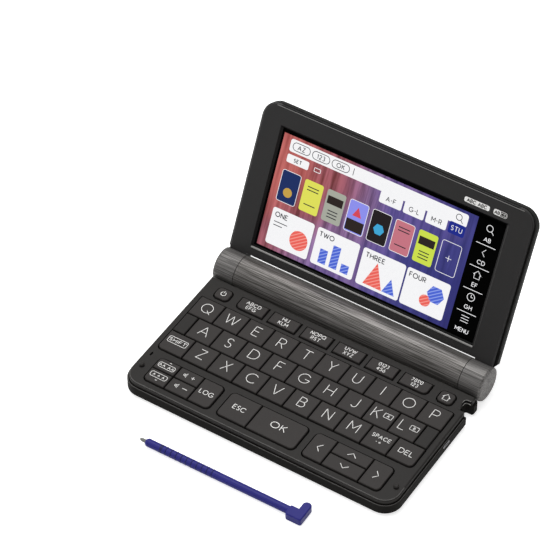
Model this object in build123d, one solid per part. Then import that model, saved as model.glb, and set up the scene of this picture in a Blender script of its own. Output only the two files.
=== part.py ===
from build123d import *
from math import cos, degrees, radians, sin
import os

os.makedirs("parts", exist_ok=True)

# Clamshell electronic dictionary, opened, with its stylus laid in front of it.
# Millimetres. X runs along the hinge barrel (right positive), Y towards the rear, Z up.
# Origin: centre of the lower case's flat underside, midway between its front edge and the
# hinge axis. The table is FOOT_HEIGHT below it.

# ---------------------------------------------------------------- base shell
BASE_WIDTH = 148.0          # over the lower case, and over the lid
HINGE_REACH = 87.0          # front edge of the base to the hinge axis
REAR_REACH = 8.4            # rear wall of the base to the hinge axis
CASE_CORNER = 9.0           # front corners in plan
REAR_CORNER = 2.0
CASE_RIM = 6.0              # top of the lower case's side wall
CASE_WALL = 1.6
CASE_FLOOR = 1.2
CASE_BOTTOM_CHAMFER = 1.1
FOOT_HEIGHT = 0.5
FOOT_RADIUS = 4.0
FOOT_SEAT = 0.4             # depth of the recess that each front foot is glued into
FOOT_FIT = 0.15
FOOT_INSET = 12.6           # centre of a front foot, from the side
FOOT_Y = 9.9                # from the front edge
REAR_FOOT_RADIUS = 3.4

# ---------------------------------------------------------------- keyboard deck
DECK_TOP = 8.9
DECK_PLATE = 1.5
DECK_INSET = 1.05           # the deck is this much smaller than the lower case, all round
DECK_SKIRT = 1.3            # thickness of the deck's down-turned edge
DECK_EDGE = 0.6             # chamfer of its upper edge
GROOVE_HEIGHT = 0.5         # shadow groove between deck and lower case
TONGUE_DEPTH = 1.4          # the deck's tongue reaches this far into the lower case
SHELL_FIT = 0.15            # clearance between tongue and wall
BUMPER_RADIUS = 1.3
BUMPER_INSET = 4.7          # from the side
BUMPER_Y = 11.7             # from the front edge
MIC_WIDTH = 0.9
MIC_LENGTH = 2.4
MIC_INSET = 4.5             # from the left side
MIC_Y = 20.1

# ---------------------------------------------------------------- keys
FIELD_MARGIN = 4.3          # side of the base to the letter field
FIELD_DEPTH = 0.2821        # front line of the letter field, as a share of the hinge reach
FIELD_TO_HINGE = 23.52      # rear line of the letter field to the hinge axis
COLUMNS = 10
LETTER_ROWS = 3
KEY_GAP = 0.7               # between neighbouring keys, and around each group
KEY_TOP = 9.7
KEY_TRAVEL = 0.8
KEY_UNDERSIDE = 5.85
KEY_EDGE = 0.3              # chamfer round each key top
FIELD_CORNER = 2.2          # rounded outer corners of a key group
FIELD_REAR_CORNER = 1.0
FRONT_ROW_Y0 = 4.6          # front row of keys, from the front edge
FRONT_ROW_WEB = 4.14        # deck between the front row and the letter field
FRONT_ROW_SHARE = 0.53      # where the split keys divide, as a share of the row
SMALL_KEYS = (-4.613, -3.755, -2.826, -1.994)   # division lines, in key pitches from the middle
ENTER_KEYS = (-1.715, -0.531, 1.334)
ARROW_KEYS = (1.6, 2.403, 3.795, 4.598)
FUNCTION_SPACING = 1.2948   # in key pitches
FUNCTION_SHARE = 0.809      # width of a function key, as a share of that spacing
FUNCTION_COUNT = 6
FUNCTION_TO_HINGE = 20.8    # front line of the function keys to the hinge axis
FUNCTION_DEPTH = 6.8
FUNCTION_UNDERSIDE = 7.15
END_KEY_PLACE = 4.419       # centres of the power and home keys, in key pitches
END_KEY_WIDTH = 7.6
END_KEY_CORNER = 2.0

# ---------------------------------------------------------------- hinge barrel
HINGE_HEIGHT = 9.0
BARREL_RADIUS = 8.7
BARREL_WALL = 1.35
KNUCKLE_LENGTH = 11.7       # side of the lid to the middle of the seam
SEAM_GAP = 0.3
KNUCKLE_ROUND = 1.2
ROUND_STEPS = 2             # facets across the rounded edge
KNUCKLE_CLEARANCE = 0.5     # base to turning knuckle
SLEEVE_CLEARANCE = 0.1      # base to fixed sleeve
SHAFT_RADIUS = 3.0
SHAFT_FIT = 0.05            # radial running clearance of the shaft in the knuckle
SHAFT_REACH = 8.2           # how far the shaft enters the knuckle
HINGE_UNIT_RADIUS = 6.3      # to the corners of its six-sided body
HINGE_UNIT_SIDES = 6
HINGE_UNIT_LENGTH = 8.4
HINGE_UNIT_FIT = 0.1
BRACKET_DEPTH = 5.0         # foot of the sleeve that is held inside the base
BRACKET_Z0 = 5.1
BRACKET_Z1 = 7.3
BRACKET_INSET = 1.65        # from the sleeve's end

# ---------------------------------------------------------------- batteries
CELL_RADIUS = 6.95
CELL_NUB_RADIUS = 2.7
CELL_NUB = 1.2
CELL_END_GAP = 0.6
BAY_WALL = 2.65             # between the cell bay and a hinge unit
COVER_INSET = 2.0           # end of the cover to the end of the cell bay
COVER_SWEEP = 156.0         # degrees of the barrel that the cover spans
COVER_ANGLE = -74.0         # degrees from the rear, downwards
COVER_THICKNESS = 0.7
COVER_FIT = 0.15
COVER_LEDGE = 0.9

# ---------------------------------------------------------------- lid
LID_ANGLE = 116.1           # opening angle in the stored pose, 0 is shut
LID_OVERHANG = 0.3          # the shut lid's free edge beyond the base
LID_CORNER = 9.0
LID_FOOT = 9.4              # hinge axis to the lid's lower edge
LID_FACE = -1.3             # inner face, measured from the hinge axis
LID_THICKNESS = 6.2
BEZEL_DEPTH = 2.2
BEZEL_PLATE = 1.2
BEZEL_EDGE = 0.4
BEZEL_INSET = 1.2           # the bezel's sides stand in from the back cover's
BEZEL_WALL = 3.0
LID_WALL = 2.2
LID_PANEL = 1.3
LID_BACK_EDGE = 1.0
LID_GROOVE = 0.5            # shadow gap under the bezel's edge
LID_GROOVE_DEPTH = 0.5
LID_FIT = 0.05
FOOT_SET_IN = 1.0           # inner side of each lid foot, beyond the seam
LID_SLOPE = 6.9             # sideways slope of the feet's outer corners, at the hinge axis
ARM_INSET = 2.6             # outer side of the hinge arm to the side of the lid
ARM_WIDTH = 7.2
ARM_U0 = 5.0
ARM_N0 = -6.6
ARM_N1 = -4.0
WINDOW_LEFT = 11.9          # window edges, from the edges of the lid
WINDOW_RIGHT = 13.1
WINDOW_TOP = 9.7
WINDOW_FOOT = 13.9          # from the hinge axis
WINDOW_BEVEL = 1.1
DISPLAY_MARGIN = 1.6        # the module is this much larger than the window, all round
DISPLAY_THICKNESS = 3.6

# ---------------------------------------------------------------- inside the base
BOARD_INSET = 8.0           # from the sides of the base
BOARD_Y0 = 5.5
BOARD_TO_NOTCH = 1.1
BOARD_Z = 2.6
BOARD_THICKNESS = 1.0
POST_HALF = 2.0
POST_INSET_X = 6.0          # outer posts, from the edges of the board
POST_INSET_Y = 5.0
SHEET_THICKNESS = 0.6
DOME_RADIUS = 2.6
DOME_HEIGHT = 0.8
DOME_SIDES = 6
DOME_TAPER = 40.0
STRIP_THICKNESS = 0.35
STRIP_LIFT = 0.05
SOCKET_TO_HINGE = 38.2
SOCKET_WIDTH = 5.4
SOCKET_HEIGHT = 1.8
SOCKET_DEPTH = 3.9          # from the outer wall inwards
SOCKET_FIT = 0.15
SOCKET_WALL = 0.45

# ---------------------------------------------------------------- stylus and its silo
SILO_TO_HINGE = 17.4
SILO_Z = 3.2
SILO_BORE = 2.2
SILO_WALL = 0.5
SILO_LENGTH = 82.0
NOTCH_DEPTH = 4.8
NOTCH_TO_HINGE = 13.0       # rear side of the notch to the hinge axis
NOTCH_WIDTH = 7.3
NOTCH_WALL = 1.3
NOTCH_CORNER = 1.5
STYLUS_TIP = (-48.0, -21.1)  # on the table, from the front edge
STYLUS_TURN = 0.5
STYLUS_LENGTH = 89.0
STYLUS_RADIUS = 2.0
TIP_LENGTH = 3.3
TIP_RADIUS = 0.8
TIP_POINT = 0.45
NOSE_LENGTH = 1.0
HEAD_ARM = 4.4
HEAD_NECK = 8.7
HEAD_THICKNESS = 4.4
HEAD_HEEL = 4.0
HEAD_TOP = 7.3
HEAD_EDGE = 0.5
HEAD_CORNER = 1.0
HEAD_HEEL_ROUND = 1.6

# ---------------------------------------------------------------- derived places
FRONT = -HINGE_REACH / 2
HINGE_Y = HINGE_REACH / 2
REAR = HINGE_Y - REAR_REACH
HALF = BASE_WIDTH / 2
TABLE = -FOOT_HEIGHT
FIELD_HALF = HALF - FIELD_MARGIN
KEY_PITCH = 2 * FIELD_HALF / COLUMNS
FIELD_FRONT = FIELD_DEPTH * HINGE_REACH
FIELD_REAR = HINGE_REACH - FIELD_TO_HINGE
ROW_PITCH = (FIELD_REAR - FIELD_FRONT) / LETTER_ROWS
FRONT_ROW_Y1 = FIELD_FRONT - FRONT_ROW_WEB
FRONT_ROW_SPLIT = FRONT_ROW_Y0 + FRONT_ROW_SHARE * (FRONT_ROW_Y1 - FRONT_ROW_Y0)
FUNCTION_PITCH = FUNCTION_SPACING * KEY_PITCH
FUNCTION_WIDTH = FUNCTION_SHARE * FUNCTION_PITCH
FUNCTION_Y0 = HINGE_REACH - FUNCTION_TO_HINGE
FUNCTION_Y1 = FUNCTION_Y0 + FUNCTION_DEPTH
SEAM_X = HALF - KNUCKLE_LENGTH
SLEEVE_HALF = SEAM_X - SEAM_GAP / 2
KNUCKLE_X0 = SEAM_X + SEAM_GAP / 2
BRACKET_HALF = SLEEVE_HALF - BRACKET_INSET
BAY_HALF = SLEEVE_HALF - HINGE_UNIT_LENGTH - HINGE_UNIT_FIT - BAY_WALL
CELL_LENGTH = BAY_HALF - CELL_NUB - CELL_END_GAP
COVER_LENGTH = 2 * (BAY_HALF - COVER_INSET)
LID_REACH = HINGE_REACH + LID_OVERHANG
WINDOW_X0 = WINDOW_LEFT - HALF
WINDOW_X1 = HALF - WINDOW_RIGHT
WINDOW_U1 = LID_REACH - WINDOW_TOP
ARM_X1 = HALF - ARM_INSET
ARM_X0 = ARM_X1 - ARM_WIDTH
BOARD_HALF = HALF - BOARD_INSET
NOTCH_X = HALF - NOTCH_DEPTH
NOTCH_Y1 = HINGE_REACH - NOTCH_TO_HINGE
NOTCH_Y0 = NOTCH_Y1 - NOTCH_WIDTH
SILO_Y = HINGE_REACH - SILO_TO_HINGE
SOCKET_Y = HINGE_REACH - SOCKET_TO_HINGE
BOARD_Y1 = NOTCH_Y0 - BOARD_TO_NOTCH
POSTS_X = (POST_INSET_X - BOARD_HALF, 0, BOARD_HALF - POST_INSET_X)
POSTS_Y = (BOARD_Y0 + POST_INSET_Y, BOARD_Y1 - POST_INSET_Y)
BARREL_BORE = BARREL_RADIUS - BARREL_WALL
BOARD_TOP = BOARD_Z + BOARD_THICKNESS
SILO_TOP = SILO_Z + SILO_BORE + SILO_WALL
STRIP_Z = SILO_TOP + STRIP_LIFT


def span(x0, x1, y0, y1, z0, z1):
    """Box between two opposite corners."""
    middle = Pos((x0 + x1) / 2, (y0 + y1) / 2, (z0 + z1) / 2)
    return middle * Box(x1 - x0, y1 - y0, z1 - z0)


def rod(x0, x1, y, z, radius):
    """Cylinder along X."""
    return Pos((x0 + x1) / 2, y, z) * Rot(0, 90, 0) * Cylinder(radius, x1 - x0)


def hinge_rod(x0, x1, radius):
    """Cylinder on the hinge axis."""
    return rod(x0, x1, HINGE_Y, HINGE_HEIGHT, radius)


def outline(x0, x1, y0, y1, radii):
    """Rectangle whose corners (front-left, front-right, rear-right, rear-left) have own radii."""
    face = Pos((x0 + x1) / 2, (y0 + y1) / 2) * Rectangle(x1 - x0, y1 - y0)
    corners = ((x0, y0), (x1, y0), (x1, y1), (x0, y1))
    for (x, y), radius in zip(corners, radii):
        if radius > 0:
            corner = face.vertices().sort_by_distance((x, y, 0))[0]
            face = fillet(corner, radius)
    return face


def slab(face, z0, z1):
    """Flat face raised from z0 to z1."""
    return Pos(0, 0, z0) * extrude(face, z1 - z0)


def mirrored(shape):
    """The shape and its mirror image across the middle plane."""
    return shape, mirror(shape, Plane.YZ)


def save(name, shape):
    export_step(shape, f"parts/{name}.step")


# ---------------------------------------------------------------- base shell
def base_outline(inset):
    """Plan of the keyboard half, drawn in from its outer wall."""
    front = CASE_CORNER - inset
    rear = REAR_CORNER - inset if inset < CASE_WALL else 0
    radii = (front, front, rear, rear)
    return outline(-HALF + inset, HALF - inset, FRONT + inset, REAR - inset, radii)


def hinge_clearance():
    """What the base leaves free for the fixed sleeve and for the turning knuckles."""
    sleeve = hinge_rod(-KNUCKLE_X0, KNUCKLE_X0, BARREL_RADIUS + SLEEVE_CLEARANCE)
    knuckle = hinge_rod(SLEEVE_HALF - KNUCKLE_CLEARANCE, HALF + 1, BARREL_RADIUS + KNUCKLE_CLEARANCE)
    right, left = mirrored(knuckle)
    return sleeve + right + left


def notch_plan(x0, grow):
    """Plan of the stylus notch in the right side, or of the square block of wall around it."""
    corner = 0 if grow else NOTCH_CORNER
    radii = (corner, 0, 0, corner)
    return outline(x0, HALF + NOTCH_DEPTH, FRONT + NOTCH_Y0 - grow, FRONT + NOTCH_Y1 + grow, radii)


def notch_block(inset, z0, z1):
    """Wall around the notch, kept inside the shell's outline."""
    return slab(notch_plan(NOTCH_X - NOTCH_WALL, NOTCH_WALL), z0, z1) & slab(base_outline(inset), z0, z1)


def socket_hole(grow):
    """Space of the side socket, through the right wall."""
    y = FRONT + SOCKET_Y
    z = BOARD_TOP + SOCKET_HEIGHT / 2
    half_width = SOCKET_WIDTH / 2 + grow
    half_height = SOCKET_HEIGHT / 2 + grow
    x0 = HALF - SOCKET_DEPTH - grow
    return span(x0, HALF + 1, y - half_width, y + half_width, z - half_height, z + half_height)


def make_lower_case():
    shell = slab(base_outline(0), 0, CASE_RIM)
    bottom = shell.faces().sort_by(Axis.Z)[0]
    shell = chamfer(bottom.edges(), CASE_BOTTOM_CHAMFER)
    shell -= slab(base_outline(CASE_WALL), CASE_FLOOR, CASE_RIM + 1)
    for x in POSTS_X:
        for y in POSTS_Y:
            post = span(-POST_HALF, POST_HALF, -POST_HALF, POST_HALF, CASE_FLOOR / 2, BOARD_Z)
            shell += Pos(x, FRONT + y, 0) * post
    for side in (-1, 1):
        recess = Cylinder(FOOT_RADIUS + FOOT_FIT, 2 * FOOT_SEAT)
        shell -= Pos(side * (HALF - FOOT_INSET), FRONT + FOOT_Y, 0) * recess
    silo = rod(NOTCH_X - SILO_LENGTH - SILO_WALL, NOTCH_X, FRONT + SILO_Y, SILO_Z, SILO_BORE + SILO_WALL)
    shell += silo & span(-HALF, HALF, FRONT, REAR, CASE_FLOOR / 2, CASE_RIM)
    rib_end = NOTCH_X - SILO_LENGTH
    rib_pitch = (rib_end + BOARD_HALF) / 3
    for index in range(3):
        x = -BOARD_HALF + rib_pitch * (index + 0.5)
        y0 = FRONT + SILO_Y - SILO_BORE
        y1 = FRONT + SILO_Y + SILO_BORE
        shell += span(x, x + CASE_WALL, y0, y1, CASE_FLOOR / 2, SILO_TOP)
    shell += notch_block(CASE_BOTTOM_CHAMFER, 0, CASE_RIM)
    shell -= slab(notch_plan(NOTCH_X, 0), -1, CASE_RIM + 1)
    shell -= rod(NOTCH_X - SILO_LENGTH, NOTCH_X + 1, FRONT + SILO_Y, SILO_Z, SILO_BORE)
    bracket_gap = BRACKET_HALF + SHELL_FIT
    gap_foot = BRACKET_Z0 - SHELL_FIT
    shell -= span(-bracket_gap, bracket_gap, REAR - 2 * CASE_WALL, REAR + 1, gap_foot, CASE_RIM + 1)
    shell -= socket_hole(SOCKET_FIT)
    return shell - hinge_clearance()


# ---------------------------------------------------------------- keys
def key_radii(front_left=0, front_right=0, rear_right=0, rear_left=0):
    return front_left, front_right, rear_right, rear_left


def letter_cell(row, column):
    """Cell of the letter field: row 0 is nearest the barrel, and columns may be halves."""
    x0 = -FIELD_HALF + column * KEY_PITCH
    y1 = FIELD_REAR - row * ROW_PITCH
    return x0, x0 + KEY_PITCH, y1 - ROW_PITCH, y1


def function_cell(index):
    centre = (index - (FUNCTION_COUNT - 1) / 2) * FUNCTION_PITCH
    half = (FUNCTION_WIDTH + KEY_GAP) / 2
    return centre - half, centre + half, FUNCTION_Y0 - KEY_GAP / 2, FUNCTION_Y1 + KEY_GAP / 2


def function_radii(index):
    """Only the outer front corners of the row of function keys are rounded."""
    if index == 0:
        return key_radii(front_left=FIELD_CORNER)
    if index == FUNCTION_COUNT - 1:
        return key_radii(front_right=FIELD_CORNER)
    return key_radii()


def end_cell(side):
    half = (END_KEY_WIDTH + KEY_GAP) / 2
    centre = side * END_KEY_PLACE * KEY_PITCH
    return centre - half, centre + half, FUNCTION_Y0 - KEY_GAP / 2, FUNCTION_Y1 + KEY_GAP / 2


def front_cell(lines, index, y0=FRONT_ROW_Y0, y1=FRONT_ROW_Y1):
    return lines[index] * KEY_PITCH, lines[index + 1] * KEY_PITCH, y0, y1


def key_table():
    """Every key node: the cells it fills, with their corner radii, and its underside."""
    keys = {}
    for column, letter in enumerate("qwertyuiop"):
        radii = key_radii(rear_right=FIELD_REAR_CORNER) if letter == "p" else key_radii()
        keys[f"key_{letter}"] = [(letter_cell(0, column), radii)], KEY_UNDERSIDE
    for column, letter in enumerate("asdfghjkl"):
        keys[f"key_{letter}"] = [(letter_cell(1, column + 0.5), key_radii())], KEY_UNDERSIDE
    third_row = ["shift", *"zxcvbnm", "space", "delete"]
    for column, name in enumerate(third_row):
        radii = key_radii()
        if name == "shift":
            radii = key_radii(front_left=FIELD_CORNER)
        if name == "delete":
            radii = key_radii(front_right=FIELD_CORNER)
        keys[f"key_{name}"] = [(letter_cell(2, column), radii)], KEY_UNDERSIDE
    for index in range(FUNCTION_COUNT):
        plan = [(function_cell(index), function_radii(index))]
        keys[f"key_function_{index + 1}"] = plan, FUNCTION_UNDERSIDE
    round_corners = (END_KEY_CORNER,) * 4
    keys["key_power"] = [(end_cell(-1), round_corners)], FUNCTION_UNDERSIDE
    keys["key_home"] = [(end_cell(1), round_corners)], FUNCTION_UNDERSIDE
    split = FRONT_ROW_SPLIT
    keys["key_text_size"] = [
        (front_cell(SMALL_KEYS, 0, y0=split), key_radii(rear_left=FIELD_CORNER)),
        (front_cell(SMALL_KEYS, 0, y1=split), key_radii(front_left=FIELD_CORNER)),
    ], KEY_UNDERSIDE
    keys["key_volume"] = [
        (front_cell(SMALL_KEYS, 1, y0=split), key_radii()),
        (front_cell(SMALL_KEYS, 1, y1=split), key_radii()),
    ], KEY_UNDERSIDE
    right_round = key_radii(front_right=FIELD_CORNER, rear_right=FIELD_CORNER)
    left_round = key_radii(front_left=FIELD_CORNER, rear_left=FIELD_CORNER)
    keys["key_history"] = [(front_cell(SMALL_KEYS, 2), right_round)], KEY_UNDERSIDE
    keys["key_back"] = [(front_cell(ENTER_KEYS, 0), left_round)], KEY_UNDERSIDE
    keys["key_enter"] = [(front_cell(ENTER_KEYS, 1), right_round)], KEY_UNDERSIDE
    keys["key_left"] = [(front_cell(ARROW_KEYS, 0), left_round)], KEY_UNDERSIDE
    keys["key_up"] = [(front_cell(ARROW_KEYS, 1, y0=split), key_radii())], KEY_UNDERSIDE
    keys["key_down"] = [(front_cell(ARROW_KEYS, 1, y1=split), key_radii())], KEY_UNDERSIDE
    keys["key_right"] = [(front_cell(ARROW_KEYS, 2), right_round)], KEY_UNDERSIDE
    return keys


def key_cap(cell, radii, underside):
    """One key top: its cell less half a gap on each side, with a bevelled upper edge."""
    x0, x1, y0, y1 = cell
    gap = KEY_GAP / 2
    face = outline(x0 + gap, x1 - gap, FRONT + y0 + gap, FRONT + y1 - gap, radii)
    cap = slab(face, underside, KEY_TOP)
    top = cap.faces().sort_by(Axis.Z)[-1]
    return chamfer(top.edges(), KEY_EDGE)


def group_opening(x0, x1, y0, y1, radii):
    """Opening of the deck around a group of keys, half a gap beyond the cells."""
    grown = [radius + KEY_GAP if radius else 0 for radius in radii]
    gap = KEY_GAP / 2
    face = outline(x0 - gap, x1 + gap, FRONT + y0 - gap, FRONT + y1 + gap, grown)
    return slab(face, 0, KEY_TOP + 1)


def side_filler(side):
    """Fixed half key at one end of the middle letter row, standing up from the deck."""
    x0, x1, y0, y1 = letter_cell(1, 0)
    gap = KEY_GAP / 2
    middle = (x0 + x1) / 2
    face = outline(x0 + gap, middle - gap, FRONT + y0 + gap, FRONT + y1 - gap, key_radii())
    top = slab(face, DECK_TOP - DECK_PLATE, KEY_TOP)
    top = chamfer(top.faces().sort_by(Axis.Z)[-1].edges(), KEY_EDGE)
    foot = DECK_TOP - DECK_PLATE
    root_y0 = FRONT + y0 + gap
    root_y1 = FRONT + y1 - gap
    root = span(x0 - KEY_GAP, middle - gap, root_y0, root_y1, foot, DECK_TOP - KEY_GAP)
    filler = top + root
    return filler if side < 0 else mirror(filler, Plane.YZ)


# ---------------------------------------------------------------- keyboard deck
def make_keyboard_deck():
    deck = slab(base_outline(DECK_INSET), CASE_RIM + GROOVE_HEIGHT, DECK_TOP)
    deck = chamfer(deck.faces().sort_by(Axis.Z)[-1].edges(), DECK_EDGE)
    deck += slab(base_outline(CASE_WALL + SHELL_FIT), CASE_RIM - TONGUE_DEPTH, DECK_TOP - DECK_PLATE)
    inside = slab(base_outline(DECK_INSET + DECK_SKIRT), CASE_RIM - TONGUE_DEPTH - 1, DECK_TOP - DECK_PLATE)
    deck -= inside
    deck += notch_block(DECK_INSET, CASE_RIM + SHELL_FIT, DECK_TOP)
    deck -= slab(notch_plan(NOTCH_X, 0), -1, DECK_TOP + 1)
    deck -= notch_tongue_clearance()
    field = key_radii(FIELD_CORNER, FIELD_CORNER, FIELD_REAR_CORNER)
    deck -= group_opening(-FIELD_HALF, FIELD_HALF, FIELD_FRONT, FIELD_REAR, field)
    group = (FIELD_CORNER,) * 4
    for lines in (SMALL_KEYS, ENTER_KEYS, ARROW_KEYS):
        x0 = lines[0] * KEY_PITCH
        x1 = lines[-1] * KEY_PITCH
        deck -= group_opening(x0, x1, FRONT_ROW_Y0, FRONT_ROW_Y1, group)
    for index in range(FUNCTION_COUNT):
        deck -= group_opening(*function_cell(index), function_radii(index))
    for side in (-1, 1):
        deck -= group_opening(*end_cell(side), (END_KEY_CORNER,) * 4)
        deck += side_filler(side)
        deck += Pos(side * (HALF - BUMPER_INSET), FRONT + BUMPER_Y, DECK_TOP - DECK_PLATE) * bumper()
    slot = Pos(MIC_INSET - HALF, FRONT + MIC_Y) * SlotOverall(MIC_LENGTH, MIC_WIDTH, rotation=90)
    deck -= slab(slot, 0, DECK_TOP + 1)
    bracket_gap = BRACKET_HALF + SHELL_FIT
    deck -= span(-bracket_gap, bracket_gap, REAR - 3 * CASE_WALL, REAR + 1, 0, BRACKET_Z1 + SHELL_FIT)
    deck -= socket_hole(SOCKET_FIT)
    return deck - hinge_clearance()


def notch_tongue_clearance():
    """Keeps the deck's tongue out of the lower case's wall around the notch."""
    grown = NOTCH_WALL + SHELL_FIT
    return slab(notch_plan(NOTCH_X - grown, grown), 0, CASE_RIM + SHELL_FIT)


def bumper():
    """Low nub that the closed lid rests on."""
    height = HINGE_HEIGHT - LID_FACE - SHELL_FIT - (DECK_TOP - DECK_PLATE)
    nub = Cylinder(BUMPER_RADIUS, height, align=(Align.CENTER, Align.CENTER, Align.MIN))
    return chamfer(nub.faces().sort_by(Axis.Z)[-1].edges(), BUMPER_RADIUS / 3)


# ---------------------------------------------------------------- parts inside the base
def make_main_board():
    board = span(-BOARD_HALF, BOARD_HALF, FRONT + BOARD_Y0, FRONT + BOARD_Y1, BOARD_Z, BOARD_TOP)
    y = FRONT + SOCKET_Y
    half = SOCKET_WIDTH / 2
    tab = span(BOARD_HALF, HALF - SOCKET_FIT, y - half, y + half, BOARD_Z, BOARD_TOP)
    tab &= span(0, HALF - CASE_WALL - SOCKET_FIT, y - half, y + half, BOARD_Z, BOARD_TOP)
    socket_top = BOARD_TOP + SOCKET_HEIGHT
    socket = span(HALF - SOCKET_DEPTH, HALF - SOCKET_FIT, y - half, y + half, BOARD_TOP, socket_top)
    mouth = span(HALF - SOCKET_DEPTH + SOCKET_WALL, HALF + 1, y - half + SOCKET_WALL, y + half - SOCKET_WALL,
                 BOARD_TOP + SOCKET_WALL, BOARD_TOP + SOCKET_HEIGHT - SOCKET_WALL)
    return board + tab + (socket - mouth)


def make_key_sheet():
    """Silicone sheet with a dome under every key, and the strip under the function row."""
    y0 = FRONT + BOARD_Y0
    y1 = FRONT + BOARD_Y1
    sheet = span(-BOARD_HALF, BOARD_HALF, y0, y1, BOARD_TOP, BOARD_TOP + SHEET_THICKNESS)
    dome = extrude(RegularPolygon(DOME_RADIUS, DOME_SIDES), DOME_HEIGHT, taper=DOME_TAPER)
    domes = []
    for cells, underside in key_table().values():
        for (x0, x1, y0, y1), _ in cells:
            if underside == KEY_UNDERSIDE:
                domes.append(Pos((x0 + x1) / 2, FRONT + (y0 + y1) / 2, BOARD_TOP + SHEET_THICKNESS) * dome)
    sheet = sheet.fuse(*domes)
    gap = KEY_GAP / 2
    strip = span(-BOARD_HALF, BOARD_HALF, FRONT + FUNCTION_Y0 - gap, FRONT + FUNCTION_Y1 - gap,
                 STRIP_Z, STRIP_Z + STRIP_THICKNESS)
    return Compound([sheet, strip])


def make_rubber_feet():
    """Two pads under the front corners and two under the ends of the barrel."""
    feet = []
    for side in (-1, 1):
        pad = Cylinder(FOOT_RADIUS, FOOT_HEIGHT + FOOT_SEAT, align=(Align.CENTER, Align.CENTER, Align.MIN))
        feet.append(Pos(side * (HALF - FOOT_INSET), FRONT + FOOT_Y, TABLE) * pad)
        rear = Cylinder(REAR_FOOT_RADIUS, BARREL_RADIUS / 2, align=(Align.CENTER, Align.CENTER, Align.MIN))
        place = Pos(side * (COVER_LENGTH / 2 + SLEEVE_HALF) / 2, HINGE_Y, TABLE)
        feet.append(place * rear - hinge_rod(-HALF, HALF, BARREL_RADIUS))
    return Compound(feet)


# ---------------------------------------------------------------- hinge barrel
def barrel_sector(inner, outer, length, sweep):
    """Piece of the barrel's wall over the battery cover's place."""
    ring = hinge_rod(-length / 2, length / 2, outer) - hinge_rod(-length, length, inner)
    reach = 3 * outer
    half = radians(sweep / 2)
    edge_x = reach * cos(half)
    edge_y = reach * sin(half)
    rim = [(edge_x, -edge_y), (reach, -edge_y), (reach, edge_y), (edge_x, edge_y)]
    wedge = Polygon((0, 0), *rim, align=None)
    block = Plane.YZ * Rot(0, 0, COVER_ANGLE) * wedge
    block = Pos(-length / 2, HINGE_Y, HINGE_HEIGHT) * extrude(block, length)
    return ring & block


def make_barrel_sleeve():
    """Tube along the rear of the base, with its foot, cell bay and battery opening."""
    y0 = REAR - BRACKET_DEPTH
    y1 = HINGE_Y - BARREL_RADIUS / 2
    foot = span(-BRACKET_HALF, BRACKET_HALF, y0, y1, BRACKET_Z0, BRACKET_Z1)
    sleeve = hinge_rod(-SLEEVE_HALF, SLEEVE_HALF, BARREL_RADIUS) + foot
    sleeve -= hinge_rod(-BAY_HALF, BAY_HALF, BARREL_BORE)
    pocket = hinge_hexagon(SLEEVE_HALF - HINGE_UNIT_LENGTH - HINGE_UNIT_FIT, SLEEVE_HALF + 1, HINGE_UNIT_FIT)
    right, left = mirrored(pocket)
    sleeve = sleeve - right - left
    ledge = BARREL_RADIUS - COVER_THICKNESS - COVER_FIT / 3
    ledge_turn = degrees_of(COVER_LEDGE)
    sleeve -= barrel_sector(ledge, BARREL_RADIUS + 1, COVER_LENGTH, COVER_SWEEP)
    window = COVER_LENGTH - 2 * COVER_LEDGE
    sweep = COVER_SWEEP - 2 * ledge_turn
    sleeve -= barrel_sector(BARREL_BORE - 0.5, BARREL_RADIUS, window, sweep)
    return sleeve


def degrees_of(arc):
    """Angle that an arc length covers on the barrel."""
    return degrees(arc / BARREL_RADIUS)


def make_battery_cover():
    """Curved cover that closes the opening and lifts off downwards."""
    inner = BARREL_RADIUS - COVER_THICKNESS
    sweep = COVER_SWEEP - 2 * degrees_of(COVER_FIT)
    return barrel_sector(inner, BARREL_RADIUS, COVER_LENGTH - 2 * COVER_FIT, sweep)


def make_battery_cells():
    """Two cells in a row, nub to base."""
    profile = make_face(Polyline(
        (0, 0), (0, CELL_RADIUS), (CELL_LENGTH, CELL_RADIUS), (CELL_LENGTH, CELL_NUB_RADIUS),
        (CELL_LENGTH + CELL_NUB, CELL_NUB_RADIUS), (CELL_LENGTH + CELL_NUB, 0), close=True))
    cell = revolve(profile, Axis.X)
    start = Pos(-CELL_LENGTH - CELL_NUB, HINGE_Y, HINGE_HEIGHT)
    return Compound([start * cell, start * Pos(CELL_LENGTH + CELL_NUB, 0, 0) * cell])


def hinge_hexagon(x0, x1, grow):
    """Six-sided bar on the hinge line: the hinge unit's body, or the pocket that stops it turning."""
    section = Plane.YZ * RegularPolygon(HINGE_UNIT_RADIUS + grow, HINGE_UNIT_SIDES)
    return Pos(x0, HINGE_Y, HINGE_HEIGHT) * extrude(section, x1 - x0)


def make_hinge_shafts():
    """Friction hinge units: a six-sided body in the sleeve's end and a shaft into the knuckle."""
    drum = hinge_hexagon(SLEEVE_HALF - HINGE_UNIT_LENGTH, SLEEVE_HALF - HINGE_UNIT_FIT, 0)
    shaft = hinge_rod(SLEEVE_HALF - HINGE_UNIT_LENGTH, KNUCKLE_X0 + SHAFT_REACH, SHAFT_RADIUS)
    right, left = mirrored(drum + shaft)
    return Compound([right, left])


def lid_place(shape):
    """From the lid's own frame (Y up its face, Z its inner normal) to the opened pose."""
    return Pos(0, HINGE_Y, HINGE_HEIGHT) * Rot(180 - LID_ANGLE, 0, 0) * shape


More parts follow.
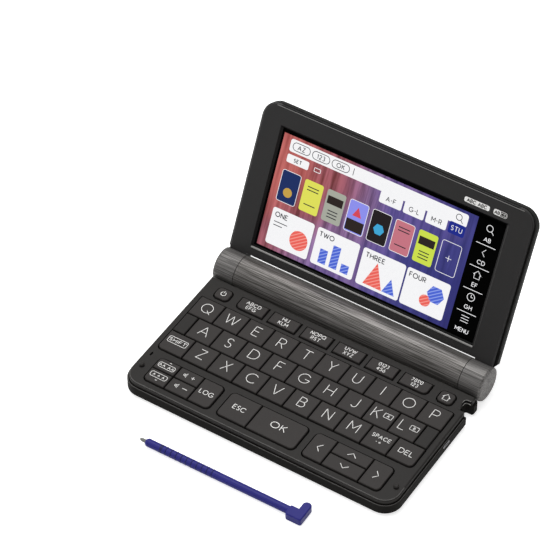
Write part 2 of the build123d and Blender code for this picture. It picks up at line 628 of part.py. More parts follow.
def make_hinge_caps():
    """Knuckles at the ends of the barrel, which turn with the lid."""
    end = HALF
    points = [(KNUCKLE_X0, 0), (KNUCKLE_X0, BARREL_RADIUS)]
    for step in range(ROUND_STEPS + 1):
        turn = radians(90 * step / ROUND_STEPS)
        x = end - KNUCKLE_ROUND * (1 - sin(turn))
        points.append((x, BARREL_RADIUS - KNUCKLE_ROUND * (1 - cos(turn))))
    points.append((end, 0))
    cap = revolve(make_face(Polyline(*points, close=True)), Axis.X)
    cap -= rod(KNUCKLE_X0 - 1, KNUCKLE_X0 + SHAFT_REACH + SHAFT_FIT, 0, 0, SHAFT_RADIUS + SHAFT_FIT)
    cap -= lid_arm(LID_FIT)
    right, left = mirrored(cap)
    return lid_place(Compound([right, left]))


# ---------------------------------------------------------------- lid
def lid_outline(inset, side=0):
    """Rounded upper corners, square lower ones; side is a further inset of the two sides alone."""
    half = HALF - inset - side
    corner = max(LID_CORNER - inset - side, 0.5)
    return outline(-half, half, 0, LID_REACH - inset, (0, 0, corner, corner))


def lid_arm(grow):
    """Tongue of the back cover that enters the knuckle."""
    top = LID_FOOT + LID_WALL
    return span(ARM_X0 - grow, ARM_X1 + grow, ARM_U0 - grow, top, ARM_N0 - grow, ARM_N1 + grow)


def lid_foot_cut():
    """Clears the fixed sleeve between the lid's feet, seats the feet, and slopes their corners."""
    inner = KNUCKLE_X0 + FOOT_SET_IN
    back = LID_FACE - LID_THICKNESS
    gap = span(-inner, inner, -1, LID_FOOT, back - 1, LID_FACE + 1)
    seat = rod(-BASE_WIDTH, BASE_WIDTH, 0, 0, BARREL_RADIUS + LID_FIT)
    corners = [(HALF, LID_FOOT), (HALF - LID_SLOPE, 0), (HALF + 1, 0), (HALF + 1, LID_FOOT)]
    slope = Polygon(*corners, align=None)
    right, left = mirrored(slab(slope, back - 1, LID_FACE + 1))
    return gap + seat + right + left


def lid_slab(inset, n0, n1, side=0):
    return slab(lid_outline(inset, side), n0, n1)


def make_lid_back_cover():
    back = LID_FACE - LID_THICKNESS
    front = LID_FACE - BEZEL_DEPTH
    cover = lid_slab(0, back, front)
    cover = chamfer(cover.faces().sort_by(Axis.Z)[0].edges(), LID_BACK_EDGE)
    cavity = span(-BASE_WIDTH, BASE_WIDTH, LID_FOOT + LID_WALL, LID_REACH, back + LID_PANEL, front + 1)
    cover -= cavity & lid_slab(LID_WALL, back + LID_PANEL, front + 1)
    cover -= lid_foot_cut()
    right, left = mirrored(lid_arm(0))
    return lid_place(cover + right + left)


def window_cut():
    """Screen window with sloping walls, narrower at the glass."""
    width = WINDOW_X1 - WINDOW_X0
    height = WINDOW_U1 - WINDOW_FOOT
    middle = Pos((WINDOW_X0 + WINDOW_X1) / 2, (WINDOW_FOOT + WINDOW_U1) / 2, LID_FACE)
    outer = middle * Rectangle(width, height)
    glass = Rectangle(width - 2 * WINDOW_BEVEL, height - 2 * WINDOW_BEVEL)
    return loft([middle * Pos(0, 0, -BEZEL_PLATE) * glass, outer])


def make_lid_bezel():
    back = LID_FACE - BEZEL_DEPTH
    bezel = lid_slab(SHELL_FIT, back + LID_GROOVE, LID_FACE, BEZEL_INSET)
    bezel = chamfer(bezel.faces().sort_by(Axis.Z)[-1].edges(), BEZEL_EDGE)
    bezel += lid_slab(SHELL_FIT + LID_GROOVE_DEPTH, back, back + LID_GROOVE, BEZEL_INSET)
    room = span(-BASE_WIDTH, BASE_WIDTH, LID_FOOT + LID_WALL, LID_REACH, back - 1, LID_FACE - BEZEL_PLATE)
    bezel -= room & lid_slab(BEZEL_WALL, back - 1, LID_FACE - BEZEL_PLATE)
    bezel -= window_cut()
    return lid_place(bezel - lid_foot_cut())


def make_display_module():
    """Glass, touch layer and LCD as one slab behind the bezel."""
    x0 = WINDOW_X0 - DISPLAY_MARGIN
    x1 = WINDOW_X1 + DISPLAY_MARGIN
    front = LID_FACE - BEZEL_PLATE - LID_FIT
    back = front - DISPLAY_THICKNESS
    return lid_place(span(x0, x1, WINDOW_FOOT - DISPLAY_MARGIN, WINDOW_U1 + DISPLAY_MARGIN, back, front))


# ---------------------------------------------------------------- stylus
def stylus_profile():
    """Half section of tip, nose and shaft, turned about X."""
    points = [(0, 0), (0, TIP_POINT), (TIP_LENGTH / 3, TIP_RADIUS), (TIP_LENGTH, TIP_RADIUS)]
    points += [(TIP_LENGTH, 0.7 * STYLUS_RADIUS), (TIP_LENGTH + NOSE_LENGTH, STYLUS_RADIUS)]
    end = STYLUS_LENGTH - HEAD_ARM
    points += [(end, STYLUS_RADIUS), (end, 0)]
    return make_face(Polyline(*points, close=True))


def stylus_head():
    """Flat L-shaped head: a thick neck with a heel, and an arm with a round end."""
    arm_x0 = STYLUS_LENGTH - HEAD_ARM
    neck_x0 = STYLUS_LENGTH - HEAD_NECK
    end_round = HEAD_ARM / 2.05
    plan = outline(arm_x0, STYLUS_LENGTH, -HEAD_HEEL, HEAD_TOP, (0, HEAD_CORNER, end_round, end_round))
    overlap = HEAD_ARM / 4
    neck_radii = (HEAD_HEEL_ROUND, 0, 0, HEAD_CORNER)
    plan += outline(neck_x0, arm_x0 + overlap, -HEAD_HEEL, STYLUS_RADIUS, neck_radii)
    head = slab(plan, -HEAD_THICKNESS / 2, HEAD_THICKNESS / 2)
    flats = head.faces().filter_by(Axis.Z)
    return chamfer(flats.edges(), HEAD_EDGE)


def make_stylus():
    body = revolve(stylus_profile(), Axis.X) + stylus_head()
    x, y = STYLUS_TIP
    return Pos(x, FRONT + y, TABLE + HEAD_THICKNESS / 2) * Rot(0, 0, STYLUS_TURN) * body


# ---------------------------------------------------------------- write the parts
save("lower_case", make_lower_case())
save("keyboard_deck", make_keyboard_deck())
save("main_board", make_main_board())
save("key_sheet", make_key_sheet())
save("rubber_feet", make_rubber_feet())
save("barrel_sleeve", make_barrel_sleeve())
save("battery_cover", make_battery_cover())
save("battery_cells", make_battery_cells())
save("hinge_shafts", make_hinge_shafts())
save("hinge_caps", make_hinge_caps())
save("lid_back_cover", make_lid_back_cover())
save("lid_bezel", make_lid_bezel())
save("display_module", make_display_module())
save("stylus", make_stylus())
for node, (key_cells, key_underside) in key_table().items():
    caps = [key_cap(cell, radii, key_underside) for cell, radii in key_cells]
    save(node, caps[0] if len(caps) == 1 else Compound(caps))
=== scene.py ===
# %% [markdown]
# # A pocket electronic dictionary
# The object is a small clamshell: a keyboard half with 46 keys, a screen half that turns on a round
# barrel, and a blue plastic stylus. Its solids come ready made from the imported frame, so this lesson
# only dresses them: it gives every solid its real finish and adds what is too fine for CAD, such as
# printed letters, the picture on the screen, grip ridges and thin trim. One Blender unit is a metre,
# and the object is 148 mm wide, so most numbers below are written in millimetres.

from math import cos, pi, radians, sin

import bmesh
import bpy
from mathutils import Matrix, Vector


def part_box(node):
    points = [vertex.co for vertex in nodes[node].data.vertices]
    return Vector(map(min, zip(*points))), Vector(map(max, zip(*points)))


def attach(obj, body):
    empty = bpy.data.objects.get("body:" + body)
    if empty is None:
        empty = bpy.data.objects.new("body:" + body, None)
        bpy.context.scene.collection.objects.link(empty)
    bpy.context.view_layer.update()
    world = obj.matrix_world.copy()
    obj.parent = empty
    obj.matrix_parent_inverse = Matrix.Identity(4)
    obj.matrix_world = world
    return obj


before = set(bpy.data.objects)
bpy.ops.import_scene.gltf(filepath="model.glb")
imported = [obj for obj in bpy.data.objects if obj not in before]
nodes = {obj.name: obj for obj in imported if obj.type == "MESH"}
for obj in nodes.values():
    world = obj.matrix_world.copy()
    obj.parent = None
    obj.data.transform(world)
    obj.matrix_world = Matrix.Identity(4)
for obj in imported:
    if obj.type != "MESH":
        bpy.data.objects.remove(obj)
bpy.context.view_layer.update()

# %% [markdown]
# ## Places
# Two flat places carry almost everything that is added. Key tops lie in planes parallel to the table.
# The screen half has a frame of its own: x runs along the hinge, u climbs from the hinge axis up the
# face, and n points out of the glass. One matrix takes such a point to the opened pose, so a card
# on the screen can be drawn flat in millimetres and then be laid on the glass in one move.

# %% Places on the object
MM = 0.001
HINGE_Y, HINGE_Z = 43.5, 9.0
LID_ANGLE = 116.1
LID_TILT = radians(180 - LID_ANGLE)
HINGE = (0, HINGE_Y * MM, HINGE_Z * MM)
TO_METRES = Matrix.Scale(MM, 4)
LID = Matrix.Translation(HINGE) @ Matrix.Rotation(LID_TILT, 4, "X") @ TO_METRES
LID_FACE = -1.3
GLASS = -2.55
SCREEN_X0, SCREEN_X1 = -61.0, 59.8
SCREEN_U0, SCREEN_U1 = 15.0, 76.5
PAGE_X1 = 45.6  # left of it is the page, right of it the touch strip
print("screen:", SCREEN_X1 - SCREEN_X0, "x", SCREEN_U1 - SCREEN_U0, "mm")


def key_top(node):
    """Left, right, front, rear and height of a key's top face, in mm."""
    low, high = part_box(node)
    return low[0] / MM, high[0] / MM, low[1] / MM, high[1] / MM, high[2] / MM


def new_object(name, data):
    """An object that is in the scene."""
    thing = bpy.data.objects.new(name, data)
    bpy.context.scene.collection.objects.link(thing)
    return thing


# %% [markdown]
# ## Camera
# The photograph looks down on the open dictionary from the front right with a long lens, so its
# edges stay almost parallel. The position and the 199 mm lens were worked out from the corners of the
# base and the lid. A camera's own Z axis points backwards, so the three columns of its turning matrix
# are right, up and back.

# %% Camera
CAMERA_PLACE = (0.499296, -0.794423, 1.063895)
RIGHT = (0.8428772, 0.5380691, -0.0062994)
UP = (-0.3856582, 0.6122090, 0.6902666)
BACK = (0.3752676, -0.5793805, 0.7235277)
camera = new_object("camera", bpy.data.cameras.new("camera"))
camera.data.lens = 198.66
camera.data.sensor_width = 36
camera.data.clip_start = 0.05
turn = Matrix((RIGHT, UP, BACK)).transposed().to_4x4()
camera.matrix_world = Matrix.Translation(CAMERA_PLACE) @ turn
bpy.context.scene.camera = camera
print("camera at", [round(v, 3) for v in camera.location])

# %% [markdown]
# ## Small tools for materials
# Colours are easiest to read off as sRGB hex values, but shaders calculate in linear light, so one
# function turns the first into the second. Every node is added by one other function, which
# sets its properties, fills its inputs and makes its links in a single call. The short ones after it
# each add the one node that most finishes need: noise of a given size, a stretched range, a blend of
# two colours, a bump.

# %% Colour and node helpers
def linear(code):
    """RGBA in linear light from an sRGB hex value."""
    parts = [int(code[i:i + 2], 16) / 255 for i in (1, 3, 5)]
    return (*(p / 12.92 if p <= 0.04045 else ((p + 0.055) / 1.055) ** 2.4 for p in parts), 1)


def add(tree, kind, settings=None, **inputs):
    """Adds a node; settings are its properties, and an input may be a value or another node's socket."""
    node = tree.nodes.new(kind)
    for name, value in (settings or {}).items():
        setattr(node, name, value)
    for name, value in inputs.items():
        numbered = name.startswith("in") and name[2:].isdigit()
        socket = node.inputs[int(name[2:]) if numbered else name.replace("_", " ")]
        if isinstance(value, bpy.types.NodeSocket):
            tree.links.new(value, socket)
        else:
            socket.default_value = value
    return node


def object_place(tree, **mapping):
    """Object coordinates, mapped if anything of the mapping is given."""
    place = add(tree, "ShaderNodeTexCoord").outputs["Object"]
    return add(tree, "ShaderNodeMapping", Vector=place, **mapping).outputs["Vector"] if mapping else place


def noise(tree, place, size_mm, detail=3.0, roughness=0.5):
    """Noise whose patches are about size_mm wide."""
    return add(tree, "ShaderNodeTexNoise", Vector=place, Scale=1 / (size_mm * MM), Detail=detail,
               Roughness=roughness).outputs["Fac"]


def ranged(tree, value, low, high, to_low=0.0, to_high=1.0):
    """A value between low and high, moved to another range."""
    return add(tree, "ShaderNodeMapRange", Value=value, From_Min=low, From_Max=high,
               To_Min=to_low, To_Max=to_high).outputs["Result"]


def blend(tree, factor, colour, other):
    return add(tree, "ShaderNodeMix", {"data_type": "RGBA"}, in0=factor, in6=colour, in7=other).outputs[2]


def bump(tree, height, strength, depth_mm):
    return add(tree, "ShaderNodeBump", Height=height, Strength=strength,
               Distance=depth_mm * MM).outputs["Normal"]


def dress(tree, shader, **sockets):
    """Links the nodes' outputs to the shader's inputs."""
    for socket, output in sockets.items():
        tree.links.new(output, shader.inputs[socket.replace("_", " ")])


def new_material(name, base, roughness, metallic=0.0, **sockets):
    """A material whose shader carries every value that is the same all over the surface."""
    material = bpy.data.materials.new(name)
    material.use_nodes = True
    shader = material.node_tree.nodes["Principled BSDF"]
    sockets.update(Base_Color=linear(base), Roughness=roughness, Metallic=metallic)
    for socket, value in sockets.items():
        shader.inputs[socket.replace("_", " ")].default_value = value
    return material, material.node_tree, shader


print("dark grey of the case in linear light:", [round(v, 4) for v in linear("#1a1918")[:3]])

# %% [markdown]
# ## Moulded ABS
# The case halves and the keys are injection-moulded ABS. The mould is spark-eroded, so the skin has a
# fine matt grain of about 0.15 mm that breaks up reflections. Noise at that scale drives a shallow
# bump, and a wider noise of some 20 mm moves the colour a little, as sink and handling do. The grain
# is drawn about twice as coarse as the real one, or it would vanish in the render.

# %% Moulded ABS in its shades
def moulded_abs(name, colour, worn, roughness, grain_mm=0.3, depth=0.35, specular=0.22):
    material, tree, shader = new_material(name, colour, roughness, Specular_IOR_Level=specular)
    place = object_place(tree)
    grain = noise(tree, place, grain_mm, 2.0, 0.6)
    wide = noise(tree, place, 20, 3.0, 0.55)
    dress(tree, shader, Base_Color=blend(tree, wide, linear(colour), linear(worn)),
          Roughness=ranged(tree, grain, 0, 1, roughness - 0.06, roughness + 0.06),
          Normal=bump(tree, grain, depth, 0.04))
    return material


deck_abs = moulded_abs("deck_spark_eroded_abs", "#1f1d1b", "#252321", 0.55)
# A darker copy of the deck's plastic: the lower case's colour paints the shade on its upright walls.
shaded_case_abs = moulded_abs("case_spark_eroded_abs", "#1a1918", "#1f1e1c", 0.6, specular=0.03)
lid_abs = moulded_abs("lid_spark_eroded_abs", "#252424", "#2a2929", 0.5)
cover_abs = moulded_abs("lid_cover_spark_eroded_abs", "#1f1f1e", "#242423", 0.55, specular=0.05)
key_abs = moulded_abs("key_moulded_abs", "#2c2928", "#322f2d", 0.55, 0.5, 0.5)
# Lighter than the skin: the edge beads' colour paints the highlight line along the deck and the case.
bead_highlight_abs = moulded_abs("edge_polished_abs", "#403e3c", "#484644", 0.3, 0.6, 0.1, 0.5)
# Black that paints shade on the window's bevel, the bezel's top and the notch's wall; it is also the black of
# the socket's tongue.
shade_and_tongue_black = moulded_abs("black_painted_shade_and_socket_tongue", "#050505", "#080808", 0.5, specular=0.05)
# Light grey that paints highlights: the bezel's top line, the window's sill and the notch's rim.
highlight_grey = moulded_abs("grey_painted_highlight", "#858482", "#8e8d8b", 0.45)
# Dark grey that paints the shade on the window's left bevel.
left_bevel_shade_grey = moulded_abs("window_bevel_left_painted_shade", "#1c1b1b", "#201f1f", 0.5, specular=0.1)
# Near white that paints a glint on the lip in the notch.
lip_light = moulded_abs("notch_lip_light_grey_abs", "#cfcec9", "#d8d7d2", 0.4)
# A lighter grey that paints highlights on the window's right edge and on the back cover's shaded rim.
rim_highlight_abs = moulded_abs("window_edge_polished_abs", "#363534", "#3d3c3b", 0.4, 0.6, 0.1, 0.35)
print("moulded plastics:", len(bpy.data.materials))

# %% [markdown]
# ## Brushed aluminium
# The barrel is a tube of dark anodised aluminium, brushed lengthwise. Brushing leaves long, fine
# scratches that spread a reflection across them into a band. Noise that is stretched seventy times
# along x gives streaks of about 0.4 mm, drawn coarser than the real 0.05 mm so that they show. The
# same streaks move the colour, the roughness and a bump.

# %% Brushed aluminium in its shades
STREAK_MM, STREAK_LENGTH = 0.42, 70


def brushed_aluminium(name, dark, light, roughness):
    material, tree, shader = new_material(name, dark, roughness, metallic=0.65, Specular_IOR_Level=0.3)
    place = object_place(tree, Scale=(1 / STREAK_LENGTH, 1, 1))
    fine = noise(tree, place, STREAK_MM, 3.0, 0.65)
    broad = noise(tree, place, 5 * STREAK_MM, 2.0)
    both = add(tree, "ShaderNodeMix", {"data_type": "FLOAT"}, in0=0.2, in2=fine, in3=broad).outputs[0]
    streak = ranged(tree, both, 0.42, 0.58)
    dress(tree, shader, Base_Color=blend(tree, streak, linear(dark), linear(light)),
          Roughness=ranged(tree, streak, 0, 1, roughness + 0.08, roughness - 0.08),
          Normal=bump(tree, both, 0.5, 0.03))
    return material


barrel_metal = brushed_aluminium("barrel_brushed_anodised_aluminium", "#464441", "#7d7a78", 0.55)
knuckle_metal = brushed_aluminium("knuckle_brushed_anodised_aluminium", "#535150", "#7a7876", 0.58)
print("metals:", barrel_metal.name, knuckle_metal.name)

# %% [markdown]
# ## Hinge steel, cell cans and the other inner finishes
# The friction hinges are turned steel, the cells have a shrink sleeve over a nickel can, the board
# is glass-fibre laminate under green solder mask, and the key sheet is dark grey silicone. They show
# only when the dictionary is opened up, but each has its own small pattern: turning rings,
# a soft sleeve shine, copper tracks under the mask and a slightly cloudy rubber.

# %% Inner finishes
def patterned(name, colour, other, roughness, size_mm, metallic=0.0, stretch=(1, 1, 1), bump_mm=0.02,
              **sockets):
    material, tree, shader = new_material(name, colour, roughness, metallic, **sockets)
    pattern = noise(tree, object_place(tree, Scale=stretch), size_mm)
    dress(tree, shader, Normal=bump(tree, pattern, 0.4, bump_mm),
          Base_Color=blend(tree, ranged(tree, pattern, 0.4, 0.6), linear(colour), linear(other)))
    return material


hinge_steel = patterned("hinge_turned_steel", "#9a9a98", "#b4b3b0", 0.3, 0.2, 1.0, (1, 0.05, 0.05))
cell_can = patterned("cell_shrink_sleeve", "#8f9296", "#a2a5a8", 0.35, 6, 0.6, (0.2, 1, 1))
board_mask = patterned("board_solder_mask", "#1f5138", "#2c6b49", 0.4, 1.2, 0.0, (0.3, 1, 1))
silicone = patterned("key_sheet_silicone", "#2f2f30", "#3a3a3b", 0.55, 8, Subsurface_Weight=0.1)
foot_rubber = patterned("foot_moulded_rubber", "#1d1d1e", "#242424", 0.8, 0.4)
socket_tin = patterned("socket_tinned_steel", "#77767a", "#8a898c", 0.35, 0.5, 1.0, (1, 0.1, 1))
print("inner finishes:", len(bpy.data.materials), "materials so far")

# %% [markdown]
# ## Printed ink
# Letters on the keys are silk-screened in white ink a few hundredths of a millimetre thick. The ink
# is matt and a little uneven where the mesh of the screen lifted off, every 0.1 mm or so.

# %% Printed ink and stylus plastics
key_ink = patterned("key_white_screen_ink", "#f2f1ee", "#fbfaf8", 0.6, 0.15, bump_mm=0.004)
stylus_blue = moulded_abs("stylus_blue_abs", "#282772", "#302f7e", 0.42, 0.4, 0.2, 0.14)
stylus_tip = moulded_abs("stylus_tip_pom", "#6f706c", "#7b7c78", 0.4, 0.3, 0.2)
# Dark blue that paints the shade of the stylus's ring groove and of its ribs.
stylus_groove = moulded_abs("stylus_groove_shaded_abs", "#18184f", "#1e1e5b", 0.5, 0.3, 0.2)
print("ink and stylus:", key_ink.name, stylus_blue.name)

# %% [markdown]
# ## The lit screen
# An LCD gives off light, so its materials are black glass with an emission of strength 1, at which a
# colour shows as it is written. The backdrop is a picture of nothing in particular: soft slanted
# streaks that run from rose on the left through violet to indigo on the right. The streaks are noise
# on coordinates that were first turned into the lid's own plane and then stretched along the slant.

# %% Screen backdrop
def lit_glass(name, specular=0.15):
    return new_material(name, "#020202", 0.12, Emission_Strength=1.0, Specular_IOR_Level=specular)


POSITIONS = (0.0, 0.22, 0.42, 0.62, 0.8, 1.0)
BRIGHT = ("#c9706c", "#a5606f", "#9a78a6", "#6f5da0", "#454489", "#35357a")
DEEP = ("#9a4a48", "#5c2e33", "#5a4266", "#4d4480", "#33336f", "#2b2b66")


def ramp(tree, factor, codes):
    """A colour ramp with one hex colour at each of the positions."""
    node = add(tree, "ShaderNodeValToRGB", Fac=factor)
    elements = node.color_ramp.elements
    while len(elements) < len(codes):
        elements.new(0.5)
    for element, position, code in zip(elements, POSITIONS, codes):
        element.position = position
        element.color = linear(code)
    return node.outputs["Color"]


display_glass, tree, shader = lit_glass("display_lit_glass")
flat = add(tree, "ShaderNodeMapping", {"vector_type": "TEXTURE"}, Vector=object_place(tree),
           Location=HINGE, Rotation=(LID_TILT, 0, 0)).outputs["Vector"]
slant = add(tree, "ShaderNodeMapping", Vector=flat, Rotation=(0, 0, radians(-24)), Scale=(14, 1, 1))
streaks = noise(tree, slant.outputs["Vector"], 1000 / 22, 5.0, 0.6)
clouds = noise(tree, flat, 38, 2.0)
axes = add(tree, "ShaderNodeSeparateXYZ", Vector=flat)
shares = (ranged(tree, axes.outputs["X"], SCREEN_X0 * MM, PAGE_X1 * MM),
          ranged(tree, axes.outputs["Y"], SCREEN_U0 * MM, SCREEN_U1 * MM, 0.12, -0.1),
          ranged(tree, clouds, 0.3, 0.7, -0.14, 0.14))
waved = shares[0]
for share in shares[1:]:
    waved = add(tree, "ShaderNodeMath", {"operation": "ADD"}, in0=waved, in1=share).outputs[0]
contrast = ranged(tree, streaks, 0.36, 0.62)
picture = blend(tree, contrast, ramp(tree, waved, DEEP), ramp(tree, waved, BRIGHT))
dress(tree, shader, Emission_Color=picture)
print("backdrop:", display_glass.name)

# %% [markdown]
# ## Finishes on the solids
# Each solid of the frame keeps its mesh and only gets its finish. The keys are one family, so
# whatever is not in the table below is a key.

# %% Finishes on the solids
FINISHES = {
    "lower_case": shaded_case_abs, "keyboard_deck": deck_abs, "lid_bezel": lid_abs, "lid_back_cover": cover_abs,
    "barrel_sleeve": barrel_metal, "battery_cover": barrel_metal, "hinge_caps": knuckle_metal,
    "hinge_shafts": hinge_steel, "battery_cells": cell_can, "main_board": board_mask,
    "key_sheet": silicone, "rubber_feet": foot_rubber, "stylus": stylus_blue, "display_module": display_glass,
}
for name, solid in nodes.items():
    solid.data.materials.clear()
    solid.data.materials.append(FINISHES.get(name, key_abs))
print("solids dressed:", len(nodes))

# %% [markdown]
# ## A tree that prints strokes
# Every letter and icon here is made of single strokes, as engraved or plotted lettering is. The
# strokes are plain polylines. A Geometry Nodes tree gives them their width: it sweeps a small
# rectangle along each one, so one tree serves the key legends, the icons and the lines on the screen.
# Stroke width and ink height are its inputs. The curve's normals are held to Z, or the rectangle
# would twist at corners. Every tree in this lesson starts with a table of inputs and ends with real
# geometry and its material, so two functions do that. Three more add the steps that trees share.

# %% The stroke tree
def start_tree(name, given, **kinds):
    """A Geometry Nodes tree, its input sockets, and the identifiers of the inputs after the first."""
    tree = bpy.data.node_groups.new(name, "GeometryNodeTree")

    def declare(label, kind, way="INPUT"):
        return tree.interface.new_socket(label, in_out=way, socket_type="NodeSocket" + kind).identifier

    declare(given, "Geometry")
    identifiers = [declare(label.replace("_", " "), kind) for label, kind in kinds.items()]
    declare("Geometry", "Geometry", "OUTPUT")
    return tree, add(tree, "NodeGroupInput").outputs, identifiers


def sweep(tree, path, profile, caps=True):
    """A profile swept along a path."""
    return add(tree, "GeometryNodeCurveToMesh", Curve=path, Profile_Curve=profile,
               Fill_Caps=caps).outputs["Mesh"]


def hoop(tree, steps, radius):
    return add(tree, "GeometryNodeCurvePrimitiveCircle", Resolution=steps, Radius=radius).outputs["Curve"]


def repeat(tree, points, thing):
    """A thing placed on every point."""
    return add(tree, "GeometryNodeInstanceOnPoints", Points=points, Instance=thing).outputs["Instances"]


def end_tree(tree, geometry, finish):
    real = add(tree, "GeometryNodeRealizeInstances", Geometry=geometry)
    dressed = add(tree, "GeometryNodeSetMaterial", Geometry=real.outputs["Geometry"], Material=finish)
    add(tree, "NodeGroupOutput", Geometry=dressed.outputs["Geometry"])


stroke_tree, given, STROKE_INPUTS = start_tree("print_strokes", "Strokes", Stroke_width="Float",
                                               Ink_height="Float", Ink="Material")
upright = add(stroke_tree, "GeometryNodeSetCurveNormal", {"mode": "Z_UP"}, Curve=given["Strokes"])
nib = add(stroke_tree, "GeometryNodeCurvePrimitiveQuadrilateral", Width=given["Stroke width"],
          Height=given["Ink height"])
end_tree(stroke_tree, sweep(stroke_tree, upright.outputs["Curve"], nib.outputs["Curve"]), given["Ink"])
print("stroke tree nodes:", len(stroke_tree.nodes))

# %% [markdown]
# ## From a tree to a plain piece
# A finished piece must be a plain mesh at the origin. The next functions draw paths as a curve, run
# a tree on it, keep the evaluated result as a new mesh, and apply the piece's place to its points.

# %% From a tree to a plain piece
def keep_mesh(name, mesh, place, body, material):
    """Makes a mesh a plain object at the origin that rides on a body."""
    mesh.transform(place)
    piece = new_object(name, mesh)
    mesh.materials.clear()
    mesh.materials.append(material)
    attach(piece, body)


def run_tree(name, data, tree, identifiers, values):
    """The mesh that a Geometry Nodes tree makes of some data, whose object is then deleted."""
    source = new_object(name, data)
    modifier = source.modifiers.new("tree", "NODES")
    modifier.node_group = tree
    for identifier, value in zip(identifiers, values):
        modifier[identifier] = value
    bpy.context.view_layer.update()
    seen = source.evaluated_get(bpy.context.evaluated_depsgraph_get())
    mesh = bpy.data.meshes.new_from_object(seen)
    bpy.data.objects.remove(source)
    return mesh


def polylines(name, paths):
    """A curve of straight pieces through paths of points."""
    curve = bpy.data.curves.new(name, "CURVE")
    curve.dimensions = "3D"
    for path in paths:
        spline = curve.splines.new("POLY")
        spline.points.add(len(path) - 1)
        for point, place in zip(spline.points, path):
            point.co = (*place, 1)
    return curve


def print_strokes(name, strokes, body, ink, place, width, height=0.05):
    """Strokes drawn in mm in a flat plane, given a width, and laid at their place."""
    curve = polylines(name, [[(x, y, 0) for x, y in stroke] for stroke in strokes])
    mesh = run_tree(name, curve, stroke_tree, STROKE_INPUTS, (width, height, ink))
    keep_mesh(name, mesh, place, body, ink)


print("helpers ready")

# %% [markdown]
# ## An alphabet of single strokes
# The keys carry wide, geometric capitals: round bows are true circles and every stroke has the same
# weight. Built-in fonts are outlines with other proportions, so a small alphabet of lines and arcs
# comes closer. Each letter is one unit high. A stroke is a list of points, and an arc is written as its
# centre, radius and two angles.

# %% Alphabet
def arc(x, y, radius, start, end, steps=14, flat=1.0):
    turns = [radians(start + (end - start) * i / steps) for i in range(steps + 1)]
    return [(x + radius * cos(t), y + flat * radius * sin(t)) for t in turns]


def circle(x, y, radius, steps=20):
    return arc(x, y, radius, 0, 360, steps)


def bow(x, y, radius):
    return arc(x, y, radius, 90, -90)


def lines(*points):
    """One straight stroke from each point to the next, so that corners stay sharp."""
    return [list(pair) for pair in zip(points, points[1:])]


